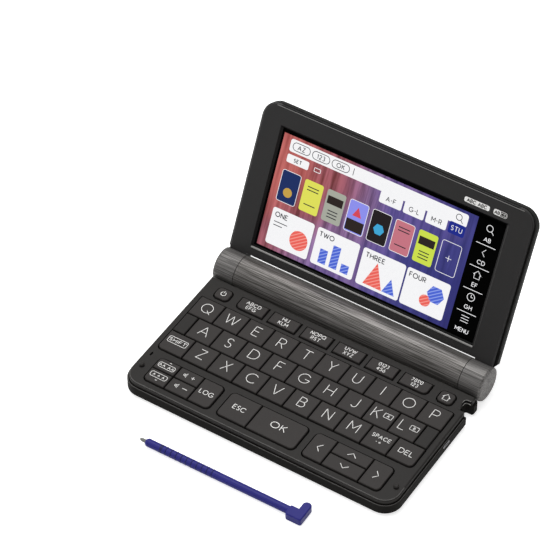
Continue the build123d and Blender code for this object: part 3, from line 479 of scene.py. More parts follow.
STEM = [(0, 0), (0, 1)]
P_BOW = [(0, 1), *bow(0.33, 0.73, 0.27), (0, 0.46)]
ROUND = circle(0.5, 0.5, 0.5, 28)
LETTERS = {
    "A": (0.84, lines((0, 0), (0.42, 1), (0.84, 0)) + [[(0.15, 0.34), (0.69, 0.34)]]),
    "B": (0.62, [STEM, [(0, 1), *bow(0.32, 0.76, 0.24), (0, 0.52)], [*bow(0.36, 0.26, 0.26), (0, 0)]]),
    "C": (0.9, [arc(0.5, 0.5, 0.5, 42, 318)]),
    "D": (0.8, [STEM, [(0, 1), *bow(0.32, 0.5, 0.5), (0, 0)]]),
    "E": (0.58, [STEM, [(0, 1), (0.58, 1)], [(0, 0.52), (0.5, 0.52)], [(0, 0), (0.58, 0)]]),
    "F": (0.56, [STEM, [(0, 1), (0.56, 1)], [(0, 0.5), (0.48, 0.5)]]),
    "G": (1.0, [arc(0.5, 0.5, 0.5, 42, 350), [(0.56, 0.44), (1.0, 0.44)]]),
    "H": (0.72, [STEM, [(0.72, 0), (0.72, 1)], [(0, 0.52), (0.72, 0.52)]]),
    "I": (0.0, [STEM]),
    "J": (0.44, [[(0.44, 1), *arc(0.2, 0.24, 0.24, 0, -150)]]),
    "K": (0.64, [STEM, [(0.6, 1), (0, 0.4)], [(0.2, 0.6), (0.64, 0)]]),
    "L": (0.52, lines((0, 1), (0, 0), (0.52, 0))),
    "M": (0.86, lines((0, 0), (0, 1), (0.43, 0.3), (0.86, 1), (0.86, 0))),
    "N": (0.7, lines((0, 0), (0, 1), (0.7, 0), (0.7, 1))),
    "O": (1.0, [ROUND]),
    "P": (0.6, [STEM, P_BOW]),
    "Q": (1.0, [ROUND, [(0.6, 0.3), (0.98, -0.06)]]),
    "R": (0.62, [STEM, P_BOW, [(0.28, 0.46), (0.62, 0)]]),
    "S": (0.58, [[*arc(0.29, 0.75, 0.25, 30, 270), *arc(0.29, 0.25, 0.25, 90, -150)]]),
    "T": (0.7, [[(0, 1), (0.7, 1)], [(0.35, 1), (0.35, 0)]]),
    "U": (0.68, [[(0, 1), *arc(0.34, 0.34, 0.34, 180, 360), (0.68, 1)]]),
    "V": (0.8, lines((0, 1), (0.4, 0), (0.8, 1))),
    "W": (1.12, lines((0, 1), (0.28, 0), (0.56, 0.95), (0.84, 0), (1.12, 1))),
    "X": (0.68, [[(0, 0), (0.66, 1)], [(0.02, 1), (0.68, 0)]]),
    "Y": (0.7, lines((0, 1), (0.35, 0.46), (0.35, 0)) + [[(0.7, 1), (0.35, 0.46)]]),
    "Z": (0.64, lines((0.02, 1), (0.62, 1), (0, 0), (0.64, 0))),
    "0": (0.56, [arc(0.28, 0.5, 0.28, 0, 360, 24, 1.78)]),
    "1": (0.2, lines((0, 0.8), (0.2, 1), (0.2, 0))),
    "2": (0.54, [[*arc(0.27, 0.73, 0.27, 160, -30), (0, 0)], [(0, 0), (0.56, 0)]]),
    "3": (0.52, [arc(0.24, 0.76, 0.24, 140, -90), arc(0.25, 0.26, 0.26, 90, -140)]),
    "4": (0.6, lines((0.44, 0), (0.44, 1), (0, 0.28), (0.62, 0.28))),
    "5": (0.54, lines((0.5, 1), (0.08, 1), (0.04, 0.56)) + [arc(0.24, 0.31, 0.31, 110, -140)]),
    "6": (0.56, [circle(0.28, 0.28, 0.28), [(0.02, 0.36), (0.4, 1)]]),
    "7": (0.52, lines((0, 1), (0.52, 1), (0.16, 0))),
    "8": (0.54, [circle(0.27, 0.76, 0.23), circle(0.27, 0.27, 0.27)]),
    "9": (0.56, [circle(0.28, 0.72, 0.28), [(0.54, 0.64), (0.16, 0)]]),
    "-": (0.3, [[(0, 0.48), (0.3, 0.48)]]),
    "+": (0.6, [[(0, 0.48), (0.6, 0.48)], [(0.3, 0.18), (0.3, 0.78)]]),
    " ": (0.3, []),
}


def word(text, x, y, height, gap=0.26, wide=1.0):
    """Strokes of a word centred on x, standing on y."""
    widths = [LETTERS[c][0] * wide for c in text]
    pen = x - height * (sum(widths) + gap * (len(text) - 1)) / 2
    strokes = []
    for character, width in zip(text, widths):
        for stroke in LETTERS[character][1]:
            strokes.append([(pen + height * wide * px, y + height * py) for px, py in stroke])
        pen += height * (width + gap)
    return strokes


def ring_box(x, y, width, height, corner):
    """Closed outline of a box with round corners, centred on x and y."""
    points = []
    for quarter, (sx, sy) in enumerate(((1, 1), (-1, 1), (-1, -1), (1, -1))):
        centre = x + sx * (width / 2 - corner), y + sy * (height / 2 - corner)
        points += arc(*centre, corner, 90 * quarter, 90 * quarter + 90, 5)
    return points + points[:1]


print("characters:", len(LETTERS))

# %% [markdown]
# ## Letters on the keys
# Each of the 26 letter keys has one capital, 5.7 mm tall, a little behind the middle of the key. K and
# L have a small boxed letter too, so their capitals stand more to the left. The ink must sink and rise
# with its key, so every legend is a piece of its own that rides on that key's body.

# %% Letters on the keys
CAPITAL, CAPITAL_FOOT = 5.7, -2.3


def key_place(node):
    """Flat place on a key, with its origin in the middle of the top face."""
    x0, x1, y0, y1, z = key_top(node)
    return Matrix.Translation(((x0 + x1) / 2 * MM, (y0 + y1) / 2 * MM, z * MM)) @ TO_METRES


def legend(node, strokes, width=0.3, mark=""):
    name, place = f"legend_{node}{mark}", key_place(node)
    print_strokes(name, strokes, node, key_ink, place, width)


boxed = {"K": "A", "L": "B"}
for letter in "QWERTYUIOPASDFGHJKLZXCVBNM":
    legend(f"key_{letter.lower()}", word(letter, -2.6 if letter in boxed else 0, CAPITAL_FOOT, CAPITAL))
for letter, inner in boxed.items():
    box = ring_box(3.2, 1.2, 4.2, 2.7, 0.3)
    legend(f"key_{letter.lower()}", [box] + word(inner, 3.2, 0.5, 1.4), 0.24, "_box")
print("letter legends:", 26)

# %% [markdown]
# ## Words and icons on the other keys
# The remaining keys say what they do in a short word or an icon. The icons are drawn with the same
# strokes: a power ring, a house, chevrons, and a loudspeaker with a plus or a minus. The function keys
# have two short lines each. The pair keys carry one legend on each half.

# %% Words and icons on the other keys
def chevron(x, y, turn, size=1.5):
    """A V-shaped arrow that points right, turned by an angle."""
    points = [(-size * 0.45, size), (size * 0.45, 0), (-size * 0.45, -size)]
    c, s = cos(radians(turn)), sin(radians(turn))
    return [[(x + c * px - s * py, y + s * px + c * py) for px, py in points]]


def drawn(x, y, size, *strokes):
    """An icon of strokes whose points are in units of its size."""
    return [[(x + px * size, y + py * size) for px, py in stroke] for stroke in strokes]


def house(x, y, size):
    return drawn(x, y, size, [(-1, -0.1), (0, 1), (1, -0.1)],
                 [(-0.7, 0.1), (-0.7, -1), (0.7, -1), (0.7, 0.1)])


def speaker(x, y, size):
    return drawn(x, y, size, [(-1, 0.35), (-0.4, 0.35), (0.3, 1), (0.3, -1), (-0.4, -0.35), (-1, -0.35),
                              (-1, 0.35)], [(-0.4, 0), (0.1, 0)])


legend("key_power", [arc(0, 0.1, 1.25, 120, 420, 20), [(0, 0.5), (0, 1.9)]])
legend("key_home", house(0, 0.1, 1.9))
pairs = ("ABCD", "EFG"), ("HIJ", "KLM"), ("NOPQ", "RST"), ("UVW", "XYZ"), ("0123", "456"), ("7890", "123")
for number, (first, second) in enumerate(pairs, 1):
    legend(f"key_function_{number}", word(first, 0, 0.55, 1.9, 0.3) + word(second, 0, -2.2, 1.9, 0.3), 0.27)
legend("key_shift", [ring_box(0, 1.2, 10.2, 3.7, 0.8)] + word("SHIFT", 0, 0.3, 1.8, 0.42, 1.25), 0.26)
legend("key_space", word("SPACE", 0.2, 0.6, 2.0, 0.3) + word("-+", 0.2, -2.4, 1.9, 0.5), 0.28)
legend("key_delete", word("DEL", 0.2, -1.3, 2.7, 0.3, 1.1))
legend("key_history", word("LOG", 0, -1.1, 2.5, 0.26, 0.95))
legend("key_back", word("ESC", 0, -0.9, 2.5), 0.32)
legend("key_enter", word("OK", 0, -1.0, 3.4, 0.36, 1.2), 0.38)
for key, turn_degrees in (("left", 180), ("right", 0), ("up", 90), ("down", -90)):
    legend(f"key_{key}", chevron(0, 0, turn_degrees, 2.2), 0.32)

front, rear = key_top("key_text_size")[2:4]
split = (rear - front) * 0.03
upper, lower = split + (rear - front) / 4, split - (rear - front) / 4
sizes = [ring_box(0, upper - 0.4, 8.8, 2.9, 1.0), ring_box(0, lower + 0.5, 8.8, 2.9, 1.0)]
sizes += chevron(0.6, upper + 2.4, 90, 0.55) + chevron(0.2, lower - 2.3, -90, 0.55)
sizes += word("AA AA", 0, upper - 1.1, 1.4, 0.4, 1.1) + word("A A A", 0, lower - 0.1, 1.2, 0.4, 1.1)
legend("key_text_size", sizes, 0.24)
volume = speaker(-1.8, upper, 1.25) + word("+", 2.0, upper - 1.4, 2.9)
legend("key_volume", volume + speaker(-1.8, lower, 1.25) + [[(1.1, lower), (3.7, lower)]])
print("other legends:", 20)

# %% [markdown]
# ## Cards on the screen
# The screen shows an invented home page: a search bar with tabs, a row of eight book tiles and a row
# of four large cards. They are flat shapes 0.02 mm thick that lie on the glass in layers, each in a
# lit colour. Coordinates are x and u of the lid's own plane, in mm. All shapes of one colour are one
# mesh.

# %% Lit colours and flat shapes
LAYER, FILM = 0.025, 0.02


def lit(name, colour, deep=None, specular=0.15):
    """A colour of the screen, with the fine unevenness of its pixels, about 0.25 mm apart."""
    material, tree, shader = lit_glass(name, specular)
    pixels = noise(tree, object_place(tree), 0.25, 0.0)
    shade = (*(0.9 * c for c in linear(deep or colour)[:3]), 1)
    dress(tree, shader, Emission_Color=blend(tree, pixels, shade, linear(colour)))
    return material


def opened(outline):
    """An outline without its last point, if that repeats the first."""
    return outline[:-1] if outline[0] == outline[-1] else outline


def prism(work, low, high):
    """Two ends and the side walls between two rings of points."""
    low, high = [[work.verts.new(point) for point in ring] for ring in (low, high)]
    work.faces.new(high)
    work.faces.new(low[::-1])
    for i in range(len(low)):
        j = (i + 1) % len(low)
        work.faces.new((low[i], low[j], high[j], high[i]))


def finished_mesh(name, work):
    """The mesh of a bmesh, with every face looking outwards."""
    mesh = bpy.data.meshes.new(name)
    bmesh.ops.recalc_face_normals(work, faces=work.faces)
    work.to_mesh(mesh)
    work.free()
    return mesh


def flat_shapes(name, outlines, material, layer, body="lid", thick=FILM,
                plane=GLASS, to=LID):
    """Outlines in mm made into one mesh of thin plates, lying on the glass at their layer."""
    work = bmesh.new()
    foot = plane + LAYER * layer
    for outline in outlines:
        ring = opened(outline)
        prism(work, [(x, u, foot) for x, u in ring], [(x, u, foot + thick) for x, u in ring])
    keep_mesh(name, finished_mesh(name, work), to, body, material)


def box_outline(x0, x1, u0, u1, corner=0.0):
    if corner == 0:
        return [(x0, u0), (x1, u0), (x1, u1), (x0, u1)]
    return ring_box((x0 + x1) / 2, (u0 + u1) / 2, x1 - x0, u1 - u0, corner)


def screen_strokes(name, strokes, ink, layer, width):
    """Strokes on the glass, in the same layers as the flat shapes."""
    place = LID @ Matrix.Translation((0, 0, GLASS + LAYER * layer))
    print_strokes(name, strokes, "lid", ink, place, width, FILM)


def words(table, u, height, gap=0.3):
    """Several words on one line, from (text, x) pairs."""
    return [stroke for text, x in table for stroke in word(text, x, u, height, gap)]


white_lit = lit("screen_white", "#ffffff", "#f4f4f8")
black_lit = lit("screen_black", "#000000", specular=0.02)
coral_lit, blue_lit = lit("screen_coral", "#f0645a"), lit("screen_blue", "#4c66d6")
pale_coral_lit, pale_blue_lit = lit("screen_pale_coral", "#f79a90"), lit("screen_pale_blue", "#8ea2ee")
navy_lit, ink_lit = lit("screen_navy", "#1d2a8c"), lit("screen_ink", "#20222c")
print("screen colours:", 8)

# %% [markdown]
# ## Search bar, tabs and side strip
# The bar has three outlined pills and a magnifier. Tabs hang under its right half, and one of
# them is blue because it is chosen. The right edge of the glass is a black touch strip with five
# white line icons. Icons, pills and words are strokes again, from the same tree.

# %% Search bar, tabs and side strip
BORDER_LEFT, BORDER_TOP, BORDER_FOOT = 1.2, 1.9, 1.1
BAR = (-55.5, 41)
TAB_U0, TAB_U1 = 61.4, 67.2
SIDE = 52.7  # middle of the touch strip
border = [box_outline(SCREEN_X0, SCREEN_X0 + BORDER_LEFT, SCREEN_U0, SCREEN_U1),
          box_outline(SCREEN_X0, SCREEN_X1, SCREEN_U1 - BORDER_TOP, SCREEN_U1),
          box_outline(SCREEN_X0, SCREEN_X1, SCREEN_U0, SCREEN_U0 + BORDER_FOOT),
          box_outline(PAGE_X1, SCREEN_X1, SCREEN_U0, SCREEN_U1)]
flat_shapes("screen_border", border, black_lit, 0)
tabs = [box_outline(a, b, TAB_U0, TAB_U1, 0.9) for a, b in ((-4.5, 7.5), (8.5, 19.5), (20.5, 31.5))]
white = [box_outline(*BAR, 66.8, 73.2, 1.2), *tabs, box_outline(BAR[0], -43.5, 61.2, 65.4, 0.8)]
flat_shapes("screen_bar", white, white_lit, 1)
flat_shapes("screen_chosen_tab", [box_outline(32.5, BAR[1], TAB_U0, TAB_U1, 0.9)], navy_lit, 2)

pills = (("AZ", -49.2), ("123", -38.4), ("OK", -27.6))
bar_strokes = [ring_box(x, 70, 9.4, 4.0, 1.9) for _, x in pills] + words(pills, 68.9, 2.1, 0.35)
bar_strokes += [circle(36.4, 70.4, 1.5), [(37.5, 69.3), (38.8, 68.0)]]
bar_strokes += [[(-20.5, 68.2), (-20.5, 71.8)]] + word("SET", -49.5, 62.4, 1.7, 0.3)
bar_strokes += words((("A-F", 1.5), ("G-L", 14.0), ("M-R", 26.0)), 63.2, 2.2)
screen_strokes("screen_bar_strokes", bar_strokes, ink_lit, 2, 0.34)

side = [[(47.6, u), (57.8, u)] for u in (28.0, 39.6, 51.2, 62.8)]
side += [circle(SIDE - 0.3, 71.3, 1.6), [(SIDE + 0.9, 70.1), (SIDE + 2.2, 68.8)]]
side += chevron(SIDE, 59.0, 180, 1.8) + house(SIDE, 47.6, 2.0)
side += [circle(SIDE, 36.0, 1.9)] + lines((SIDE, 37.3), (SIDE, 36.0), (SIDE + 1.0, 36.0))
side += [[(SIDE - 2, u), (SIDE + 2, u)] for u in (26.0, 24.6, 23.2)]
for text, u in (("AB", 64.6), ("CD", 53.0), ("EF", 41.4), ("GH", 29.8)):
    side += word(text, SIDE, u, 1.9, 0.3)
side += word("MENU", SIDE, 18.0, 1.9, 0.25) + word("STU", 36.7, 63.2, 2.2, 0.3)
side += [ring_box(-38.6, 63.2, 3.4, 1.9, 0.4)]
screen_strokes("screen_white_strokes", side, white_lit, 3, 0.29)
print("strokes on the screen:", len(bar_strokes) + len(side))

# %% [markdown]
# ## Book tiles
# Eight small covers stand in a row. Each is a rounded plate in its own colour with a band, a disc or
# a few lines of greeked text, and the last one is an empty outlined place with a plus sign.

# %% Book tiles
TILE_U0, TILE_U1, TILE_CORNER = 41.2, 57.2, 1.1
TILE_X0, TILE_STEP, TILE_WIDTH = -55.8, 12.5, 10.2
TILES = [("#1c2f63", 0), ("#e3e35c", 1), ("#a9aca0", 2), ("#8f92f0", 3), ("#221c1e", 4), ("#c87684", 1),
         ("#cfe24e", 2)]
OUTLINED = (0, 3, 4, 5)
GOLD, DARK, RED, SKY = "#c8a24a", "#2c2320", "#d84a5a", "#3fa8d8"
greek, marks, tile_edges = [], {GOLD: [], DARK: [], RED: [], SKY: []}, []
for index, (colour, kind) in enumerate(TILES):
    x0 = TILE_X0 + TILE_STEP * index
    x1 = x0 + TILE_WIDTH
    middle = (x0 + x1) / 2
    tile = box_outline(x0, x1, TILE_U0, TILE_U1, TILE_CORNER)
    flat_shapes(f"screen_tile_{index + 1}", [tile], lit(f"screen_cover_{index + 1}", colour), 1)
    if index in OUTLINED:
        tile_edges.append(tile)
    if kind == 0:
        marks[GOLD].append(circle(middle, 46.5, 2.4, 24))
    if kind == 1:
        greek += [[(x0 + 2, u), (x1 - 2, u)] for u in (54.0, 52.4, 45.0)]
    if kind == 2:
        marks[DARK].append(box_outline(x0 + 0.9, x1 - 0.9, 50.2, 54.2))
        greek += [[(x0 + 2.4, u), (x1 - 2.4, u)] for u in (47.0, 45.4, 43.8)]
    if kind == 3:
        marks[DARK].append(box_outline(x0 + 0.4, x1 - 0.4, 41.9, 47.6))
        marks[RED].append([(middle - 2.4, 49.6), (middle + 2.4, 49.6), (middle, 54.4)])
    if kind == 4:
        marks[SKY].append(circle(middle, 48.2, 2.9, 6))
for number, (colour, outlines) in enumerate(marks.items(), 1):
    flat_shapes(f"screen_cover_marks_{number}", outlines, lit(f"screen_mark_{number}", colour), 2)
last = box_outline(31.7, 41.9, TILE_U0, TILE_U1, TILE_CORNER)
plus = [[(35.3, 49.2), (38.3, 49.2)], [(36.8, 47.7), (36.8, 50.7)]]
screen_strokes("screen_greeking", greek, ink_lit, 2, 0.5)
screen_strokes("screen_tile_edges", [*tile_edges, last, *plus], white_lit, 3, 0.26)
print("tiles:", len(TILES) + 1)

# %% [markdown]
# ## Cards with striped shapes
# Four white cards carry simple shapes that are hatched with slanted stripes. A hatch is a set of
# parallel lines cut off at the shape's outline; for a convex shape each line enters and leaves once,
# so it is cut where it crosses the outline's edges.

# %% Cards with striped shapes
def hatch(outlines, turn=35, pitch=1.5):
    """Parallel strokes across convex outlines."""
    c, s = cos(radians(turn)), sin(radians(turn))
    strokes = []
    for outline in outlines:
        ring = opened(outline)
        heights = [-s * x + c * y for x, y in ring]
        level = min(heights) + pitch / 2
        while level < max(heights):
            crossings = []
            for i, (x, y) in enumerate(ring):
                j = (i + 1) % len(ring)
                a, b = heights[i] - level, heights[j] - level
                if a * b < 0:
                    share = a / (a - b)
                    crossings.append((x + (ring[j][0] - x) * share, y + (ring[j][1] - y) * share))
            if len(crossings) == 2:
                strokes.append(crossings)
            level += pitch
    return strokes


CARD_U0, CARD_U1, CARD_WIDTH, CARD_CORNER = 18.6, 37.4, 23.2, 1.3
SHAPE_FOOT = 20.2
cards = [box_outline(x, x + CARD_WIDTH, CARD_U0, CARD_U1, CARD_CORNER) for x in (-55.8, -30.6, -5.4, 18.7)]
coral = [circle(-38.9, 26.0, 4.9, 36), [(-1.6, 20.0), (8.6, 20.0), (3.5, 32.4)],
         circle(31.0, 24.8, 2.9, 30)]
blue = [box_outline(x, x + 4.2, SHAPE_FOOT, top) for x, top in ((-26.8, 27.4), (-20.6, 31.6), (-14.4, 24.6))]
blue += [circle(35.6, 29.4, 4.6, 6), [(8.8, 20.0), (15.6, 20.0), (12.2, 27.6)]]
flat_shapes("screen_cards", cards, white_lit, 1)
flat_shapes("screen_coral_shapes", coral, coral_lit, 2)
flat_shapes("screen_blue_shapes", blue, blue_lit, 2)
screen_strokes("screen_coral_stripes", hatch(coral), pale_coral_lit, 3, 0.5)
screen_strokes("screen_blue_stripes", hatch(blue), pale_blue_lit, 3, 0.5)
titles = words((("ONE", -50.6), ("TWO", -25.2), ("THREE", 1.6), ("FOUR", 24.6)), 33.2, 2.3)
titles += [[(-53.8, 30.6), (-46.5, 30.6)], [(-53.8, 28.8), (-49.0, 28.8)]]
screen_strokes("screen_card_titles", titles, ink_lit, 2, 0.42)
print("cards:", len(cards))

# %% [markdown]
# ## Beads along the edges
# The deck, the lower case and the bezel end in a fine rounded bead. Its colour is lighter than the matt
# skin and paints the bright highlight line along the edge. A bead follows an edge, so a second Geometry
# Nodes tree sweeps a small circle along a path. The same tree makes more painted highlights: the grey sill
# and the right edge of the screen window, the rim of the back cover, and the small light lip in the notch
# where the stylus's head goes. A thick black bead in the notch paints the shade on its wall. A path is
# written in mm.

# %% Beads along the edges
bead_tree, given, BEAD_INPUTS = start_tree("edge_bead", "Path", Bead_radius="Float", Finish="Material")
section = hoop(bead_tree, 10, given["Bead radius"])
end_tree(bead_tree, sweep(bead_tree, given["Path"], section), given["Finish"])


def bead(name, path, radius, material, body="lid", place=LID):
    """A round bead of a radius in mm along a path of points in mm."""
    mesh = run_tree(name, polylines(name, [path]), bead_tree, BEAD_INPUTS, (radius, material))
    keep_mesh(name, mesh, place, body, material)


def round_the_front(half, y_front, y_left, y_right, corner, z):
    """Path down the left side, round both front corners and up the right side."""
    left = arc(-half + corner, y_front + corner, corner, 180, 270, 10)
    right = arc(half - corner, y_front + corner, corner, 270, 360, 10)
    return [(x, y, z) for x, y in [(-half, y_left), *left, *right, (half, y_right)]]


# The deck's and the case's beads paint a highlight line on their edges; the deck's right leg stops short,
# where no highlight shows.
deck_edge = round_the_front(72.5, -42.0, 34.0, -30.0, 7.5, 8.72)
case_rim = round_the_front(73.6, -43.1, 34.0, 21.5, 8.6, 5.95)
bead("deck_edge_bead", deck_edge, 0.22, bead_highlight_abs, "base", TO_METRES)
bead("case_rim_bead", case_rim, 0.24, bead_highlight_abs, "base", TO_METRES)
# The bezel's top bead and the window's sill are painted highlights in light grey.
bead("bezel_top_bead", [(-66.5, 86.4, -1.37), (66.5, 86.4, -1.37)], 0.15, highlight_grey)
bead("window_sill", [(-61.6, 13.75, -1.55), (60.6, 13.75, -1.55)], 0.5, highlight_grey)
# The window's right edge and the back cover's rims are lighter beads that paint highlights; the cover's rim
# lights a ledge that lies in shade.
bead("window_right_edge", [(61.1, 14.6, -1.4), (61.1, 76.9, -1.4)], 0.22, rim_highlight_abs)
RIM_N = -3.75
cover_rim = [(73.6, 17.0, RIM_N)] + [(x, u, RIM_N) for x, u in arc(65.0, 78.3, 8.6, 0, 50, 6)]
bead("cover_rim_right", cover_rim, 0.3, rim_highlight_abs)
bead("cover_rim_left", [(-x, u, n) for x, u, n in cover_rim], 0.3, rim_highlight_abs)

# The notch's beads paint its light: a grey highlight on the rim, a thick black band for the shade on its
# wall, and a glint on the lip.
NOTCH_X, NOTCH_Y, NOTCH_CORNER = 69.2, 30.5, 1.5
NOTCH_BEADS = [("rim", 0.0, 8.8, 0.13, highlight_grey), ("gap", 0.5, 7.75, 0.72, shade_and_tongue_black),
               ("lip", -0.03, 6.6, 0.16, lip_light)]
for notch_name, out, z, radius, finish in NOTCH_BEADS:
    centre = NOTCH_X + NOTCH_CORNER, NOTCH_Y - NOTCH_CORNER
    corner = [(x, y, z) for x, y in arc(*centre, NOTCH_CORNER + out, 180, 90, 6)]
    path = [(NOTCH_X - out, 27.9, z), *corner, (72.2, NOTCH_Y + out, z)]
    bead(f"notch_{notch_name}", path, radius, finish, "base", TO_METRES)
print("beads:", 10)

# %% [markdown]
# ## Painted shade on the window's bevel
# The walls of the screen window slope down to the glass. Two of them carry black painted shade and the
# left one dark grey painted shade, so the picture seems to float in a dark frame. The same black paints
# shade on the upper wall of the bezel and its chamfer, which face the light. Each wall is a flat
# four-sided plate, laid on the slope and given 0.04 mm of thickness along its own normal.

# %% Painted shade on the window's bevel
BEVEL, BEVEL_DEPTH = 1.1, 1.2
PAINT_GAP, PAINT = 0.02, 0.04


def painted(name, corners, material):
    """A thin plate over four corners, thickened towards the side they turn round."""
    a, b, c, d = [Vector(corner) for corner in corners]
    normal = (b - a).cross(d - a).normalized()
    work = bmesh.new()
    prism(work, *([v + lift * normal for v in (a, b, c, d)] for lift in (PAINT_GAP, PAINT_GAP + PAINT)))
    keep_mesh(name, finished_mesh(name, work), LID, "lid", material)


def window_ring(inset, n):
    """South-west, south-east, north-east and north-west corner of the window, moved inwards."""
    x0, x1, u0, u1 = -62.1 + inset, 60.9 - inset, 13.9 + inset, 77.6 - inset
    return (x0, u0, n), (x1, u0, n), (x1, u1, n), (x0, u1, n)


outer, inner = window_ring(0, LID_FACE), window_ring(BEVEL, LID_FACE - BEVEL_DEPTH)
# The left bevel takes dark grey painted shade; the top and the foot take black painted shade.
for side_name, a, b, paint in (("left", 3, 0, left_bevel_shade_grey), ("top", 2, 3, shade_and_tongue_black),
                               ("foot", 0, 1, shade_and_tongue_black)):
    painted(f"window_bevel_{side_name}", [outer[a], outer[b], inner[b], inner[a]], paint)
# The two strips below paint shade in black on the bezel's upper chamfer and wall, which face the light.
WALL_HALF = 64.0
for strip_name, (u_a, n_a), (u_b, n_b) in (("chamfer", (86.75, LID_FACE), (87.0, -1.55)),
                                           ("wall", (87.15, -1.85), (87.15, -3.0))):
    strip = [(WALL_HALF, u_a, n_a), (WALL_HALF, u_b, n_b), (-WALL_HALF, u_b, n_b), (-WALL_HALF, u_a, n_a)]
    painted(f"bezel_top_{strip_name}", strip, shade_and_tongue_black)
print("painted walls:", 5)

# %% [markdown]
# ## Badges on the bezel
# Two small pill badges are printed over the right end of the screen: a filled one with dark letters,
# and an outlined one whose left half is filled. They carry plain alphabet letters.

# %% Badges on the bezel
BADGE_U, BADGE_PLANE = 80.6, LID_FACE + 0.01
badge_place = LID @ Matrix.Translation((0, 0, BADGE_PLANE + 0.05))


def badge_plate(name, x0, x1, half_height):
    outline = box_outline(x0, x1, BADGE_U - half_height, BADGE_U + half_height, 0.8)
    flat_shapes(name, [outline], key_ink, 0, plane=BADGE_PLANE)


badge_plate("badge_filled", 36.8, 50.0, 1.25)
dark = word("ABC ABC", 43.4, BADGE_U - 0.75, 1.5, 0.3) + word("AB", 54.0, BADGE_U - 0.75, 1.4, 0.3)
print_strokes("badge_dark_letters", dark, "lid", deck_abs, badge_place, 0.34, 0.03)
badge_plate("badge_half", 52.2, 55.8, 1.35)
light = [ring_box(55.7, BADGE_U, 7.0, 2.5, 1.0)] + word("CD", 57.4, BADGE_U - 0.75, 1.4, 0.3)
print_strokes("badge_outline", light, "lid", key_ink, badge_place, 0.17, 0.03)
print("badges:", 2)

# %% [markdown]
# ## Tinned shell of the side socket
# The small socket in the right wall is a folded tin shell round a black tongue. The shell's lip is
# a ring swept by the stroke tree in the plane of the wall, and the tongue is a flat plate behind it.

# %% Tinned shell of the side socket
def across_x(x, y, z):
    """Place whose own plane is upright and looks along X; its origin is given in mm."""
    return Matrix(((0, 0, MM, x * MM), (MM, 0, 0, y * MM), (0, MM, 0, z * MM), (0, 0, 0, 1)))


socket_place = across_x(73.92, 5.3, 4.5)
print_strokes("socket_lip", [ring_box(0, 0, 4.75, 1.2, 0.3)], "base", socket_tin, socket_place,
              0.58, 0.12)
flat_shapes("socket_tongue", [box_outline(-2.2, 2.2, -0.42, 0.42)], shade_and_tongue_black, 0, "base",
            0.1, -0.7, socket_place)
print("socket pieces:", 2)

# %% [markdown]
# ## Stylus tip and ring
# The stylus ends in a slim grey point that is moulded separately and slides on a thin step. 11 mm behind
# its end, a barely raised ring in dark blue paints the shade of a ring groove. Both are turned bodies: a
# half profile is spun round the stylus's axis, whose place and half a degree of turn on the table come
# from the CAD.

# %% Stylus tip and ring
STYLUS_END = (-48.0 * MM, -64.6 * MM, 1.7 * MM)
STYLUS = Matrix.Translation(STYLUS_END) @ Matrix.Rotation(radians(0.5), 4, "Z") @ TO_METRES
TURNED_STEPS = 24


def turned(name, profile, material):
    """A closed half profile of (x, radius) points, spun round the stylus's axis."""
    work = bmesh.new()
    turns = [2 * pi * k / TURNED_STEPS for k in range(TURNED_STEPS)]
    rings = [[work.verts.new((x, r * cos(t), r * sin(t))) for t in turns] for x, r in profile]
    for i in range(len(rings)):
        near, far = rings[i], rings[(i + 1) % len(rings)]
        for k in range(TURNED_STEPS):
            j = (k + 1) % TURNED_STEPS
            work.faces.new((near[k], near[j], far[j], far[k]))
    keep_mesh(name, finished_mesh(name, work), STYLUS, "stylus", material)


tip = [(-0.06, 0.05), (-0.06, 0.4), (0.12, 0.54), (1.1, 0.87), (3.28, 0.87), (3.28, 0.6), (0.3, 0.05)]
turned("stylus_tip_sleeve", tip, stylus_tip)
turned("stylus_ring", [(11.3, 1.9), (11.3, 2.04), (12.7, 2.04), (12.7, 1.9)], stylus_groove)
print("stylus pieces:", 2)

# %% [markdown]
# ## Ribs on the stylus
# Behind the ring the shaft has a run of ribs for the fingers, in the same dark blue, which paints the
# shade between them. They repeat every 2.8 mm, so a tree sweeps one thin ring and places it at even
# steps along a line. The line runs up Z in the tree, and the matrix after it lays it along the shaft.

# %% Ribs on the stylus
RIB_COUNT, RIB_STEP, RIBS_START = 10, (0, 0, 2.8), 14.6
rib_tree, given, RIB_INPUTS = start_tree("shaft_ribs", "Base", Rib_count="Int", Step="Vector",
                                         Shaft_radius="Float", Rib_radius="Float", Finish="Material")
line = add(rib_tree, "GeometryNodeMeshLine", Count=given["Rib count"], Offset=given["Step"])
round_shaft, wire = hoop(rib_tree, 28, given["Shaft radius"]), hoop(rib_tree, 8, given["Rib radius"])
rib = sweep(rib_tree, round_shaft, wire, caps=False)
end_tree(rib_tree, repeat(rib_tree, line.outputs["Mesh"], rib), given["Finish"])

ribs = run_tree("stylus_ribs", bpy.data.meshes.new("stylus_ribs"), rib_tree, RIB_INPUTS,
                (RIB_COUNT, RIB_STEP, 1.72, 0.4, stylus_groove))
along_shaft = STYLUS @ Matrix.Translation((RIBS_START, 0, 0)) @ Matrix.Rotation(radians(90), 4, "Y")
keep_mesh("stylus_ribs", ribs, along_shaft, "stylus", stylus_groove)
print("ribs:", RIB_COUNT)

# %% [markdown]
# ## Grip ridges on the battery cover
# Two groups of fine ridges on the curved cover give the thumbs a hold. They repeat round the barrel,
# so one more tree places one short rod at even steps along an arc. The arc's plane is the barrel's
# cross section, and the matrix after it turns that plane upright.

